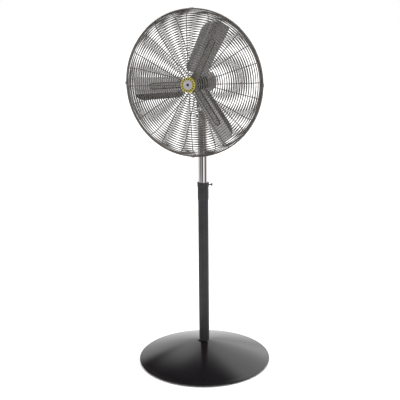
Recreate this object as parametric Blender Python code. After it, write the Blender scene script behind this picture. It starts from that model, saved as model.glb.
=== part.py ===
"""Industrial pedestal fan: a round steel base, a telescoping post and a tilting three-blade head in a wire guard.

Metres, +Z up. The origin is on the floor under the post's axis, and the fan faces -Y.
"""
import math

import bmesh
import bpy
from mathutils import Matrix, Vector

# Shared
GAP = 0.0003  # clearance left between pieces that touch
FINE = 48  # sides of the base and of the guards' badge
ROUND = 32  # sides of tubes and motor castings
SMALL = 16  # sides of screws and other small turned pieces
HEX = 6  # sides of a bolt's head
HOLE_PHASE = 0.12  # radians; turns a drill so that its corners miss the edges of the mesh it cuts

# Base
BASE_R = 0.392
BASE_APEX_Z = 0.119
BASE_SHEET = 0.0023
BASE_LIP_Z = 0.008
BASE_LIP_IN_R = 0.362
BASE_EDGE_R = 0.380
BASE_EDGE_Z = 0.0165
FOOT_R = 0.0125
FOOT_PITCH_R = 0.373
FOOT_COUNT = 4
SOCKET_FLOOR_Z = 0.064
SOCKET_WALL = 0.0068
SOCKET_FLANGE_R = 0.085
SOCKET_FLANGE_T = 0.003
SOCKET_FLOOR_T = 0.008
BASE_BOLT_R = 0.006

# Post
TUBE_R = 0.03015
TUBE_WALL = 0.00205
TUBE_TOP_Z = 1.0610
SLEEVE_R = 0.0322
SLEEVE_BOTTOM_Z = 0.987
SLEEVE_TOP_Z = 1.0645
COLLAR_R = 0.0350
COLLAR_TOP_Z = 1.0900
COLLAR_LIP = 0.0012
BUSH_DEPTH = 0.045
MAST_R = 0.0270
MAST_WALL = 0.0020
MAST_BOTTOM_Z = 0.680
MAST_TOP_Z = 1.497

# Clamp screw in the collar
CLAMP_ANGLE = 20.0  # degrees round from +X
CLAMP_Z = 1.0765
CLAMP_SHANK_R = 0.0040
CLAMP_TIP = 0.0291  # distance of the shank's tip from the post's axis
CLAMP_HEAD_IN = 0.0455
CLAMP_HEAD_OUT = 0.0555
CLAMP_HEAD_R = 0.0058
CLAMP_BAR_R = 0.0030
CLAMP_BAR_LENGTH = 0.066
PAD_T = 0.0014

# Yoke and tilt joint
PIVOT_Z = 1.540
YOKE_FLANGE_R = 0.0290
YOKE_FLANGE_T = 0.006
YOKE_BOTTOM_Z = 1.440
EAR_IN_X = 0.0225
EAR_T = 0.006
EAR_HALF_WIDTH = 0.018
CHEEK_T = 0.006
TILT_BOLT_R = 0.005
YOKE_SCREW_Z = 1.469
YOKE_SCREW_R = 0.004
KNOB_R = 0.021
KNOB_T = 0.020
KNOB_LOBES = 5

# Motor, along Y
HEAD_Z = 1.660
MOTOR_R = 0.060
MOTOR_WALL = 0.003
FRONT_FACE_Y = -0.0637
FRONT_JOINT_Y = -0.025
REAR_JOINT_Y = 0.050
REAR_FACE_Y = 0.078
BELL_CHAMFER = 0.005
SHAFT_R = 0.0079
SHAFT_FRONT_Y = -0.1540
SHAFT_REAR_Y = 0.0720
BEARING_R = 0.0175
BEARING_T = 0.011
BOSS_WALL = 0.005
CORE_FRONT_Y = -0.015
CORE_REAR_Y = 0.045
ROTOR_R = 0.0335
STATOR_IN_R = 0.0340
THROUGH_BOLT_R = 0.0024
THROUGH_BOLT_PITCH_R = 0.0500
CRADLE_HALF_X = 0.034
CRADLE_FRONT_Y = -0.018
CRADLE_REAR_Y = 0.046
CRADLE_BOTTOM_Z = 1.582
CRADLE_TOP_Z = 1.612

# Guard, a front and a rear half that meet in the rim's plane
RIM_Y = -0.145
GUARD_R = 0.400
RIM_WIDTH = 0.0075
RIM_T = 0.006
BEND_R = 0.365
FRONT_CENTRE_DEPTH = 0.062
FRONT_BEND_DEPTH = 0.048
REAR_CENTRE_DEPTH = 0.079
REAR_BEND_DEPTH = 0.060
RIB_COUNT = 12
FRONT_RIB_PHASE = 2.3  # degrees from +X to the first rib
REAR_RIB_PHASE = 18.0
RIB_WIDTH = 0.006
RING_WIDTH = 0.005
WIRE_T = 0.004
SPANS_PER_RIB = 2  # straight stretches of a ring between two ribs
FRONT_INNER_RINGS = (0.036,)
REAR_INNER_RINGS = (0.043, 0.062)
OPEN_RINGS = 6
GUARD_SCREW_PITCH_R = 0.0525
GUARD_SCREW_R = 0.0025
GUARD_SCREW_HEAD_R = 0.0098
CLIP_COUNT = 4
CLIP_SHEET = 0.0020
CLIP_WIDTH = 0.018
BADGE_R = 0.0415
BADGE_T = 0.002
BADGE_DISC_R = 0.025
BADGE_DISC_T = 0.0015

# Propeller
HUB_Y = -0.135
BLADE_ANGLE = 64.0  # of the first blade, seen from the front
BLADE_COUNT = 3
BLADE_PITCH = 17.0
BLADE_ROOT_R = 0.055
BLADE_TIP_R = 0.360
BLADE_T = 0.002
LEADING_ROOT = 0.044
LEADING_TIP = 0.057
TRAILING_ROOT = 0.071
TRAILING_TIP = 0.082
CREASE_CHORD = 0.041  # where the trailing part bends forwards
CREASE_HALF = 0.005  # half the width of the bend
CREASE_SLOPE = 0.36
LEADING_TIP_CORNER = (0.012, 0.012)  # how far a round corner reaches along the blade and along its chord
TRAILING_TIP_CORNER = (0.078, 0.088)
ROOT_CORNER = (0.024, 0.024)
BLADE_STATIONS = 6
CHORD_STEPS = 5
CORNER_STEPS = 5
ARM_WIDTH = 0.034
ARM_T = 0.003
ARM_END_R = 0.262
HUB_R = 0.023
HUB_FRONT_Y = -0.152
HUB_REAR_Y = -0.118
HUB_SCREW_ANGLE = 4.0
HUB_SCREW_R = 0.003

# Switch box behind the motor
BOX_HALF_X = 0.038
BOX_HALF_Z = 0.0300
BOX_DEPTH = 0.0377
BOX_WALL = 0.002
COVER_T = 0.002
SWITCH_X = 0.012
SWITCH_SIDE = 0.026
SWITCH_DEPTH = 0.022
SWITCH_SHAFT_R = 0.003
SPEED_KNOB_R = 0.014
SPEED_KNOB_T = 0.018
CAPACITOR_R = 0.011
CAPACITOR_LENGTH = 0.050
CAPACITOR_X = -0.022
GLAND_R = 0.009
GLAND_LENGTH = 0.018
GLAND_SPIGOT_R = 0.0062
CABLE_R = 0.004

AXIS_TURN = {
    "X": Matrix.Rotation(math.radians(90), 4, "Y"),
    "Y": Matrix.Rotation(math.radians(-90), 4, "X"),
    "Z": Matrix.Identity(4),
}


# ---------------------------------------------------------------- tools

def clear_scene():
    for item in list(bpy.data.objects):
        bpy.data.objects.remove(item, do_unlink=True)


def make_material(name, colour, roughness, metallic):
    material = bpy.data.materials.new(name)
    material.use_nodes = True
    shader = material.node_tree.nodes["Principled BSDF"]
    shader.inputs["Base Color"].default_value = (*colour, 1.0)
    shader.inputs["Roughness"].default_value = roughness
    shader.inputs["Metallic"].default_value = metallic
    return material


def finish_mesh(name, bm, material, matrix=Matrix.Identity(4)):
    """Close a bmesh into a new object with outward faces, placed by matrix."""
    bmesh.ops.recalc_face_normals(bm, faces=bm.faces)
    mesh = bpy.data.meshes.new(name)
    bm.to_mesh(mesh)
    bm.free()
    mesh.shade_smooth()
    mesh.set_sharp_from_angle(angle=math.radians(35))
    piece = bpy.data.objects.new(name, mesh)
    piece.matrix_world = matrix
    mesh.materials.append(material)
    bpy.context.scene.collection.objects.link(piece)
    return piece


def turned(name, profile, material, axis="Z", at=(0, 0, 0), sides=ROUND, phase=0.0):
    """Turn a closed profile of (radius, distance along the axis) points. A radius of 0 is a pole."""
    bm = bmesh.new()
    rings = []
    for radius, along in profile:
        count = sides if radius > 0 else 1
        angles = [phase + math.tau * k / sides for k in range(count)]
        rings.append([bm.verts.new((radius * math.cos(a), radius * math.sin(a), along)) for a in angles])
    for near, far in zip(rings, rings[1:] + rings[:1]):
        for k in range(sides):
            corners = [near[k % len(near)], near[(k + 1) % len(near)]]
            corners += [far[(k + 1) % len(far)], far[k % len(far)]]
            loop = list(dict.fromkeys(corners))
            if len(loop) > 2:
                bm.faces.new(loop)
    return finish_mesh(name, bm, material, Matrix.Translation(at) @ AXIS_TURN[axis])


def rod(name, radius, start, end, material, axis="Z", at=(0, 0, 0), sides=SMALL, phase=0.0):
    profile = [(0, end), (radius, end), (radius, start), (0, start)]
    return turned(name, profile, material, axis, at, sides, phase)


def ring(name, inner, outer, start, end, material, axis="Z", at=(0, 0, 0), sides=ROUND):
    profile = [(inner, end), (outer, end), (outer, start), (inner, start)]
    return turned(name, profile, material, axis, at, sides)


def extruded(name, outline, start, end, material, axis="Z", at=(0, 0, 0)):
    """Extrude a flat outline of local (x, y) points along the local Z, which axis turns to a world axis."""
    bm = bmesh.new()
    floor = [bm.verts.new((x, y, start)) for x, y in outline]
    roof = [bm.verts.new((x, y, end)) for x, y in outline]
    bm.faces.new(floor)
    bm.faces.new(roof)
    count = len(outline)
    for k in range(count):
        after = (k + 1) % count
        bm.faces.new((floor[k], floor[after], roof[after], roof[k]))
    return finish_mesh(name, bm, material, Matrix.Translation(at) @ AXIS_TURN[axis])


def block(name, low, high, material):
    """A box between two world corners, with its origin at its middle."""
    middle = (Vector(low) + Vector(high)) / 2
    half = (Vector(high) - Vector(low)) / 2
    bm = bmesh.new()
    bmesh.ops.create_cube(bm, size=2.0)
    bmesh.ops.scale(bm, vec=half, verts=bm.verts)
    return finish_mesh(name, bm, material, Matrix.Translation(middle))


def boolean(target, tool, operation):
    """Cut or join tool with target. The tool becomes a hidden guide."""
    modifier = target.modifiers.new(tool.name, "BOOLEAN")
    modifier.object = tool
    modifier.operation = operation
    modifier.solver = "EXACT"
    tool.hide_render = True
    tool.display_type = "WIRE"


def cut(target, *tools):
    for tool in tools:
        boolean(target, tool, "DIFFERENCE")


def join(target, *tools):
    for tool in tools:
        boolean(target, tool, "UNION")


def around(count, start=0.0):
    """Angles in radians, evenly round a circle."""
    return [math.radians(start + 360.0 * k / count) for k in range(count)]


def on_head(radius, angle, y=0.0):
    """A point round the motor's axis, its angle seen from the front."""
    return (radius * math.cos(angle), y, HEAD_Z + radius * math.sin(angle))


def pivot_empty(name, location, pieces):
    """An empty on a joint's axis that carries the pieces moving with that joint."""
    empty = bpy.data.objects.new(name, None)
    empty.location = location
    bpy.context.scene.collection.objects.link(empty)
    bpy.context.view_layer.update()
    for piece in pieces:
        piece.parent = empty
        piece.matrix_parent_inverse = empty.matrix_world.inverted()
    return empty


# ---------------------------------------------------------------- materials

def materials():
    return {
        "black": make_material("satin_black_paint", (0.025, 0.024, 0.027), 0.38, 0.1),
        "chrome": make_material("chrome_plate", (0.78, 0.78, 0.80), 0.10, 1.0),
        "zinc": make_material("zinc_plated_steel", (0.55, 0.55, 0.54), 0.35, 1.0),
        "wire": make_material("plated_wire", (0.42, 0.40, 0.37), 0.35, 1.0),
        "aluminium": make_material("mill_aluminium", (0.58, 0.57, 0.56), 0.35, 1.0),
        "motor": make_material("motor_paint", (0.05, 0.05, 0.055), 0.45, 0.1),
        "steel": make_material("core_steel", (0.33, 0.33, 0.34), 0.45, 1.0),
        "plastic": make_material("black_plastic", (0.02, 0.02, 0.02), 0.5, 0.0),
        "rubber": make_material("black_rubber", (0.02, 0.02, 0.02), 0.8, 0.0),
        "nylon": make_material("white_nylon", (0.75, 0.74, 0.70), 0.45, 0.0),
        "brass": make_material("brass", (0.72, 0.55, 0.25), 0.3, 1.0),
        "yellow": make_material("yellow_print", (0.72, 0.56, 0.10), 0.35, 0.0),
        "lilac": make_material("pale_print", (0.62, 0.58, 0.64), 0.35, 0.0),
    }


# ---------------------------------------------------------------- base

def cone_z(radius):
    """Height of the base's outer slope."""
    fall = (BASE_APEX_Z - BASE_EDGE_Z) / (BASE_EDGE_R - TUBE_R - GAP)
    return BASE_APEX_Z - fall * (radius - TUBE_R - GAP)


def base_cone(mat):
    hole = TUBE_R + GAP
    lip_top = BASE_LIP_Z + BASE_SHEET
    inside_r = BASE_EDGE_R - 3 * BASE_SHEET
    profile = [
        (hole, cone_z(hole)),
        (BASE_EDGE_R, BASE_EDGE_Z),
        (BASE_R - 0.003, 0.0140),
        (BASE_R, 0.0110),
        (BASE_R - 0.003, BASE_LIP_Z),
        (BASE_LIP_IN_R, BASE_LIP_Z),
        (BASE_LIP_IN_R, lip_top),
        (BASE_R - 0.006, lip_top),
        (BASE_EDGE_R - BASE_SHEET, cone_z(BASE_EDGE_R) - BASE_SHEET),
        (inside_r, cone_z(inside_r) - BASE_SHEET),
        (hole, cone_z(hole) - BASE_SHEET),
    ]
    turned("base_cone", profile, mat["black"], sides=FINE)


def base_socket(mat):
    inner = TUBE_R + GAP
    outer = TUBE_R + SOCKET_WALL
    drop = BASE_SHEET + GAP
    floor_top = SOCKET_FLOOR_Z + SOCKET_FLOOR_T
    bolt_hole = BASE_BOLT_R + GAP
    profile = [
        (inner, cone_z(inner) - drop),
        (SOCKET_FLANGE_R, cone_z(SOCKET_FLANGE_R) - drop),
        (SOCKET_FLANGE_R, cone_z(SOCKET_FLANGE_R) - drop - SOCKET_FLANGE_T),
        (outer, cone_z(outer) - drop - SOCKET_FLANGE_T),
        (outer, SOCKET_FLOOR_Z),
        (bolt_hole, SOCKET_FLOOR_Z),
        (bolt_hole, floor_top),
        (inner, floor_top),
    ]
    turned("base_socket", profile, mat["black"])


def base_fastening(mat):
    """The plug in the post's foot, and the bolt and washer that pull it into the socket."""
    plug_bottom = SOCKET_FLOOR_Z + SOCKET_FLOOR_T + GAP
    plug_top = plug_bottom + 0.022
    ring("tube_plug", BASE_BOLT_R + GAP, TUBE_R - TUBE_WALL - GAP, plug_bottom, plug_top, mat["zinc"])
    washer_top = SOCKET_FLOOR_Z - GAP
    washer_bottom = washer_top - 0.003
    ring("base_washer", BASE_BOLT_R + GAP, 0.020, washer_bottom, washer_top, mat["zinc"], sides=SMALL)
    head_top = washer_bottom - GAP
    bolt = rod("base_bolt", 0.0105, head_top - 0.008, head_top, mat["zinc"], sides=HEX)
    shank = rod("base_bolt_shank", BASE_BOLT_R, head_top - 0.004, plug_top - 0.002, mat["zinc"])
    join(bolt, shank)


def feet(mat):
    top = BASE_LIP_Z - GAP
    profile = [(0, top), (FOOT_R - 0.002, top), (FOOT_R, 0.0015), (FOOT_R - 0.0015, 0), (0, 0)]
    for number, angle in enumerate(around(FOOT_COUNT, 45), 1):
        place = (FOOT_PITCH_R * math.cos(angle), FOOT_PITCH_R * math.sin(angle), 0)
        turned(f"foot_{number}", profile, mat["rubber"], at=place, sides=SMALL)


# ---------------------------------------------------------------- post

def outer_post(mat):
    bottom = SOCKET_FLOOR_Z + SOCKET_FLOOR_T + GAP
    ring("outer_tube", TUBE_R - TUBE_WALL, TUBE_R, bottom, TUBE_TOP_Z, mat["black"])
    inner = TUBE_R + GAP
    profile = [
        (inner, SLEEVE_TOP_Z),
        (SLEEVE_R, SLEEVE_TOP_Z),
        (SLEEVE_R, SLEEVE_BOTTOM_Z + 0.008),
        (inner + 0.0006, SLEEVE_BOTTOM_Z),
        (inner, SLEEVE_BOTTOM_Z),
    ]
    turned("tube_sleeve", profile, mat["black"])


def guide_bush(mat):
    """A thin liner in the outer tube's mouth, with a flange that rests on the tube's end."""
    inner = MAST_R + 0.0002
    liner = TUBE_R - TUBE_WALL - 0.0002
    flange = TUBE_R - 0.0005
    profile = [
        (inner, TUBE_TOP_Z + 0.0028),
        (flange, TUBE_TOP_Z + 0.0028),
        (flange, TUBE_TOP_Z + GAP),
        (liner, TUBE_TOP_Z + GAP),
        (liner, TUBE_TOP_Z - BUSH_DEPTH),
        (inner, TUBE_TOP_Z - BUSH_DEPTH),
    ]
    turned("guide_bush", profile, mat["nylon"])


def clamp_direction():
    angle = math.radians(CLAMP_ANGLE)
    return Vector((math.cos(angle), math.sin(angle), 0))


def aim_at_clamp(piece):
    """Lay a piece made along Z on the clamp screw's axis."""
    turn = Matrix.Rotation(math.radians(CLAMP_ANGLE), 4, "Z") @ AXIS_TURN["X"]
    piece.matrix_world = Matrix.Translation((0, 0, CLAMP_Z)) @ turn
    return piece


def clamp_collar(mat):
    inner = MAST_R + GAP
    bottom = SLEEVE_TOP_Z + GAP
    waist = COLLAR_R - COLLAR_LIP
    profile = [
        (inner, COLLAR_TOP_Z),
        (COLLAR_R - 0.001, COLLAR_TOP_Z),
        (COLLAR_R, COLLAR_TOP_Z - 0.001),
        (COLLAR_R, COLLAR_TOP_Z - 0.006),
        (waist, COLLAR_TOP_Z - 0.0075),
        (waist, bottom + 0.002),
        (waist - 0.001, bottom),
        (inner, bottom),
    ]
    collar = turned("clamp_collar", profile, mat["black"])
    hole = rod("clamp_hole", CLAMP_SHANK_R + GAP, 0.015, 0.05, mat["black"])
    cut(collar, aim_at_clamp(hole))


def clamp_parts(mat):
    """The pad and the T-handled screw that lock the mast at its height."""
    pad_tip = CLAMP_TIP - GAP
    pad = rod("clamp_pad", CLAMP_SHANK_R - 0.0002, pad_tip - PAD_T, pad_tip, mat["brass"])
    aim_at_clamp(pad)
    profile = [
        (0, CLAMP_HEAD_OUT),
        (CLAMP_HEAD_R - 0.0012, CLAMP_HEAD_OUT),
        (CLAMP_HEAD_R, CLAMP_HEAD_OUT - 0.0012),
        (CLAMP_HEAD_R, CLAMP_HEAD_IN + 0.0012),
        (CLAMP_HEAD_R - 0.0012, CLAMP_HEAD_IN),
        (CLAMP_SHANK_R, CLAMP_HEAD_IN),
        (CLAMP_SHANK_R, CLAMP_TIP),
        (0, CLAMP_TIP),
    ]
    screw = aim_at_clamp(turned("clamp_screw", profile, mat["black"], sides=SMALL))
    middle = clamp_direction() * (CLAMP_HEAD_IN + CLAMP_HEAD_OUT) / 2 + Vector((0, 0, CLAMP_Z))
    across = Matrix.Rotation(math.radians(CLAMP_ANGLE), 4, "Z") @ AXIS_TURN["Y"]
    half = CLAMP_BAR_LENGTH / 2
    hole = rod("bar_hole", CLAMP_BAR_R + GAP, -half, half, mat["black"])
    bar = rod("clamp_bar", CLAMP_BAR_R, -half, half, mat["zinc"])
    for piece in (hole, bar):
        piece.matrix_world = Matrix.Translation(middle) @ across
    cut(screw, hole)
    pivot_empty("clamp_axis", (0, 0, CLAMP_Z), [pad, screw, bar, hole])


def mast(mat):
    tube = ring("inner_tube", MAST_R - MAST_WALL, MAST_R, MAST_BOTTOM_Z, MAST_TOP_Z, mat["chrome"])
    screw_hole = rod("mast_screw_hole", YOKE_SCREW_R + GAP, -MAST_R - 0.01, -MAST_R / 2, mat["chrome"], "X",
                     (0, 0, YOKE_SCREW_Z), phase=HOLE_PHASE)
    cut(tube, screw_hole)
    spigot = MAST_R - MAST_WALL - GAP
    foot_top = MAST_BOTTOM_Z - GAP
    profile = [
        (0, MAST_BOTTOM_Z + 0.020),
        (spigot, MAST_BOTTOM_Z + 0.020),
        (spigot, foot_top),
        (TUBE_R - TUBE_WALL - GAP, foot_top),
        (TUBE_R - TUBE_WALL - GAP, MAST_BOTTOM_Z - 0.025),
        (0, MAST_BOTTOM_Z - 0.025),
    ]
    foot = turned("mast_bush", profile, mat["nylon"])
    return [tube, foot, screw_hole]


# ---------------------------------------------------------------- yoke and tilt joint

def tab_outline(half_width, far_z, steps=8):
    """A tab in local (x = -z, y) that is round about the pivot and runs straight to far_z above or below it."""
    side = 1 if far_z < 0 else -1
    arc = [math.pi / 2 + math.pi * k / steps for k in range(steps + 1)]
    points = [(side * half_width * math.cos(a), half_width * math.sin(a)) for a in arc]
    return points + [(-far_z, -half_width), (-far_z, half_width)]


def yoke(mat):
    """A plug that turns in the mast's end under a flange, and two ears that hold the tilt bolt."""
    plug = MAST_R - MAST_WALL - GAP
    flange_z = MAST_TOP_Z + GAP
    roof_z = flange_z + YOKE_FLANGE_T
    profile = [
        (0, roof_z),
        (YOKE_FLANGE_R - 0.001, roof_z),
        (YOKE_FLANGE_R, roof_z - 0.001),
        (YOKE_FLANGE_R, flange_z),
        (plug, flange_z),
        (plug, YOKE_BOTTOM_Z + 0.001),
        (plug - 0.001, YOKE_BOTTOM_Z),
        (0, YOKE_BOTTOM_Z),
    ]
    fork = turned("yoke", profile, mat["zinc"])
    outline = tab_outline(EAR_HALF_WIDTH, roof_z - 0.004 - PIVOT_Z)
    pivot = (0, 0, PIVOT_Z)
    for side, start in (("left", -EAR_IN_X - EAR_T), ("right", EAR_IN_X)):
        join(fork, extruded(f"yoke_ear_{side}", outline, start, start + EAR_T, mat["zinc"], "X", pivot))
    reach = EAR_IN_X + 2 * EAR_T
    cut(fork, rod("yoke_bolt_hole", TILT_BOLT_R + GAP, -reach, reach, mat["zinc"], "X", pivot))
    return fork


def yoke_screw(mat):
    """The screw in the mast's wall that holds the yoke's plug."""
    place = (0, 0, YOKE_SCREW_Z)
    head_in = -MAST_R - 0.001
    head = rod("yoke_screw", 0.0068, head_in - 0.007, head_in, mat["black"], "X", place, HEX)
    shank_tip = MAST_WALL - MAST_R
    shank = rod("yoke_screw_shank", YOKE_SCREW_R, head_in - 0.004, shank_tip, mat["black"], "X", place)
    join(head, shank)
    return [head, shank]


def tilt_fastening(mat):
    """The tilt bolt and its washer, which stay in the yoke, and the knob that tightens them."""
    pivot = (0, 0, PIVOT_Z)
    ear_out = EAR_IN_X + EAR_T + GAP
    washer_out = ear_out + 0.002
    knob_in = washer_out + GAP
    knob_out = knob_in + KNOB_T
    bolt = rod("tilt_bolt", 0.0085, -ear_out - 0.006, -ear_out, mat["zinc"], "X", pivot, HEX)
    shank_start = -ear_out - 0.003
    shank_end = knob_out - 0.004
    shank = rod("tilt_bolt_shank", TILT_BOLT_R, shank_start, shank_end, mat["zinc"], "X", pivot)
    join(bolt, shank)
    washer = ring("tilt_washer", TILT_BOLT_R + GAP, 0.011, ear_out, washer_out, mat["zinc"], "X", pivot, SMALL)
    steps = KNOB_LOBES * 8
    lobes = [KNOB_R * (0.9 + 0.1 * math.cos(KNOB_LOBES * math.tau * k / steps)) for k in range(steps)]
    outline = [
        (radius * math.cos(math.tau * k / steps), radius * math.sin(math.tau * k / steps))
        for k, radius in enumerate(lobes)
    ]
    knob = extruded("tilt_knob", outline, knob_in + 0.005, knob_out, mat["plastic"], "X", pivot)
    neck = rod("tilt_knob_neck", 0.0105, knob_in, knob_in + 0.010, mat["plastic"], "X", pivot)
    join(knob, neck)
    bore = rod("tilt_knob_bore", TILT_BOLT_R + GAP, knob_in - 0.01, knob_out - 0.003, mat["plastic"], "X", pivot)
    cut(knob, bore)
    return [bolt, shank, washer], [knob, neck, bore]


def tilt_bracket(mat):
    """A cradle welded under the motor, with two cheeks that turn on the tilt bolt."""
    low = (-CRADLE_HALF_X, CRADLE_FRONT_Y, CRADLE_BOTTOM_Z)
    high = (CRADLE_HALF_X, CRADLE_REAR_Y, CRADLE_TOP_Z)
    cradle = block("tilt_bracket", low, high, mat["zinc"])
    pivot = (0, 0, PIVOT_Z)
    outline = tab_outline(EAR_HALF_WIDTH - 0.001, CRADLE_BOTTOM_Z + 0.004 - PIVOT_Z)
    cheek_out = EAR_IN_X - GAP
    tools = []
    for side, start in (("left", -cheek_out), ("right", cheek_out - CHEEK_T)):
        cheek = extruded(f"bracket_cheek_{side}", outline, start, start + CHEEK_T, mat["zinc"], "X", pivot)
        join(cradle, cheek)
        tools.append(cheek)
    hole = rod("bracket_hole", TILT_BOLT_R + GAP, -cheek_out - 0.01, cheek_out + 0.01, mat["zinc"], "X", pivot)
    saddle = rod("bracket_saddle", MOTOR_R + GAP, -0.1, 0.1, mat["zinc"], "Y", (0, 0, HEAD_Z), ROUND)
    cut(cradle, hole, saddle)
    return [cradle, hole, saddle] + tools


# ---------------------------------------------------------------- motor

def on_axis(maker, name, *values, **options):
    """A turned piece on the motor's axis, with distances given as world Y."""
    return maker(name, *values, axis="Y", at=(0, 0, HEAD_Z), **options)


def holes_round_axis(name, radius, pitch_radius, start_angle, start, end, material):
    return [
        rod(f"{name}_{k}", radius, start, end, material, "Y", on_head(pitch_radius, angle), phase=HOLE_PHASE)
        for k, angle in enumerate(around(4, start_angle), 1)
    ]


def front_bell(mat):
    inner = MOTOR_R - MOTOR_WALL
    inside_y = FRONT_FACE_Y + MOTOR_WALL
    boss_in = BEARING_R + GAP
    boss_out = boss_in + BOSS_WALL
    bearing_y = FRONT_FACE_Y + 0.005
    profile = [
        (SHAFT_R + 0.0015, FRONT_FACE_Y),
        (MOTOR_R - BELL_CHAMFER, FRONT_FACE_Y),
        (MOTOR_R, FRONT_FACE_Y + BELL_CHAMFER),
        (MOTOR_R, FRONT_JOINT_Y - GAP),
        (inner, FRONT_JOINT_Y - GAP),
        (inner, inside_y + BELL_CHAMFER / 2),
        (inner - BELL_CHAMFER / 2, inside_y),
        (boss_out, inside_y),
        (boss_out, bearing_y + BEARING_T + 0.002),
        (boss_in, bearing_y + BEARING_T + 0.002),
        (boss_in, bearing_y),
        (SHAFT_R + 0.0015, bearing_y),
    ]
    bell = on_axis(turned, "front_bell", profile, mat["motor"])
    hole_ends = (FRONT_FACE_Y - 0.01, FRONT_FACE_Y + 0.02)
    holes = holes_round_axis("guard_screw_hole", GUARD_SCREW_R + GAP, GUARD_SCREW_PITCH_R, 0, *hole_ends,
                             mat["motor"])
    cut(bell, *holes)
    bearing_start = bearing_y + GAP
    bearing = on_axis(ring, "front_bearing", SHAFT_R + GAP, BEARING_R, bearing_start,
                      bearing_start + BEARING_T, mat["steel"], sides=SMALL)
    return [bell, bearing] + holes


def rear_bell(mat):
    inner = MOTOR_R - MOTOR_WALL
    inside_y = REAR_FACE_Y - MOTOR_WALL
    boss_in = BEARING_R + GAP
    boss_out = boss_in + BOSS_WALL
    bearing_end = REAR_FACE_Y - 0.0065
    profile = [
        (0, REAR_FACE_Y),
        (MOTOR_R - BELL_CHAMFER, REAR_FACE_Y),
        (MOTOR_R, REAR_FACE_Y - BELL_CHAMFER),
        (MOTOR_R, REAR_JOINT_Y + GAP),
        (inner, REAR_JOINT_Y + GAP),
        (inner, inside_y - BELL_CHAMFER / 2),
        (inner - BELL_CHAMFER / 2, inside_y),
        (boss_out, inside_y),
        (boss_out, bearing_end - BEARING_T - 0.002),
        (boss_in, bearing_end - BEARING_T - 0.002),
        (boss_in, inside_y),
        (0, inside_y),
    ]
    bell = on_axis(turned, "rear_bell", profile, mat["motor"])
    holes = holes_round_axis("through_bolt_hole", THROUGH_BOLT_R + GAP, THROUGH_BOLT_PITCH_R, 45,
                             REAR_FACE_Y - 0.02, REAR_FACE_Y + 0.01, mat["motor"])
    cut(bell, *holes)
    bearing = on_axis(ring, "rear_bearing", SHAFT_R + GAP, BEARING_R, bearing_end - BEARING_T, bearing_end,
                      mat["steel"], sides=SMALL)
    return [bell, bearing] + holes


def motor_middle(mat):
    shell = on_axis(ring, "motor_shell", MOTOR_R - MOTOR_WALL, MOTOR_R, FRONT_JOINT_Y, REAR_JOINT_Y,
                    mat["motor"])
    stator = on_axis(ring, "stator", STATOR_IN_R, MOTOR_R - MOTOR_WALL - GAP, CORE_FRONT_Y, CORE_REAR_Y,
                     mat["steel"])
    slots = holes_round_axis("stator_bolt_slot", THROUGH_BOLT_R + GAP, THROUGH_BOLT_PITCH_R, 45,
                             CORE_FRONT_Y - 0.01, CORE_REAR_Y + 0.01, mat["steel"])
    cut(stator, *slots)
    return [shell, stator] + slots


def through_bolts(mat):
    """Four long bolts from the rear bell to the front bell."""
    pieces = []
    head_in = REAR_FACE_Y + GAP
    tip = FRONT_FACE_Y + MOTOR_WALL + GAP
    for number, angle in enumerate(around(4, 45), 1):
        place = on_head(THROUGH_BOLT_PITCH_R, angle)
        name = f"through_bolt_{number}"
        bolt = rod(name, 0.0045, head_in, head_in + 0.0035, mat["zinc"], "Y", place, HEX)
        shank = rod(f"{name}_shank", THROUGH_BOLT_R, tip, head_in + 0.002, mat["zinc"], "Y", place, 8)
        join(bolt, shank)
        pieces += [bolt, shank]
    return pieces


def motor_shaft(mat):
    shaft = on_axis(rod, "motor_shaft", SHAFT_R, SHAFT_FRONT_Y, SHAFT_REAR_Y, mat["steel"])
    core = on_axis(ring, "rotor_core", SHAFT_R + GAP, ROTOR_R, CORE_FRONT_Y, CORE_REAR_Y, mat["steel"],
                   sides=24)
    return [shaft, core]


# ---------------------------------------------------------------- switch box

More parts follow.
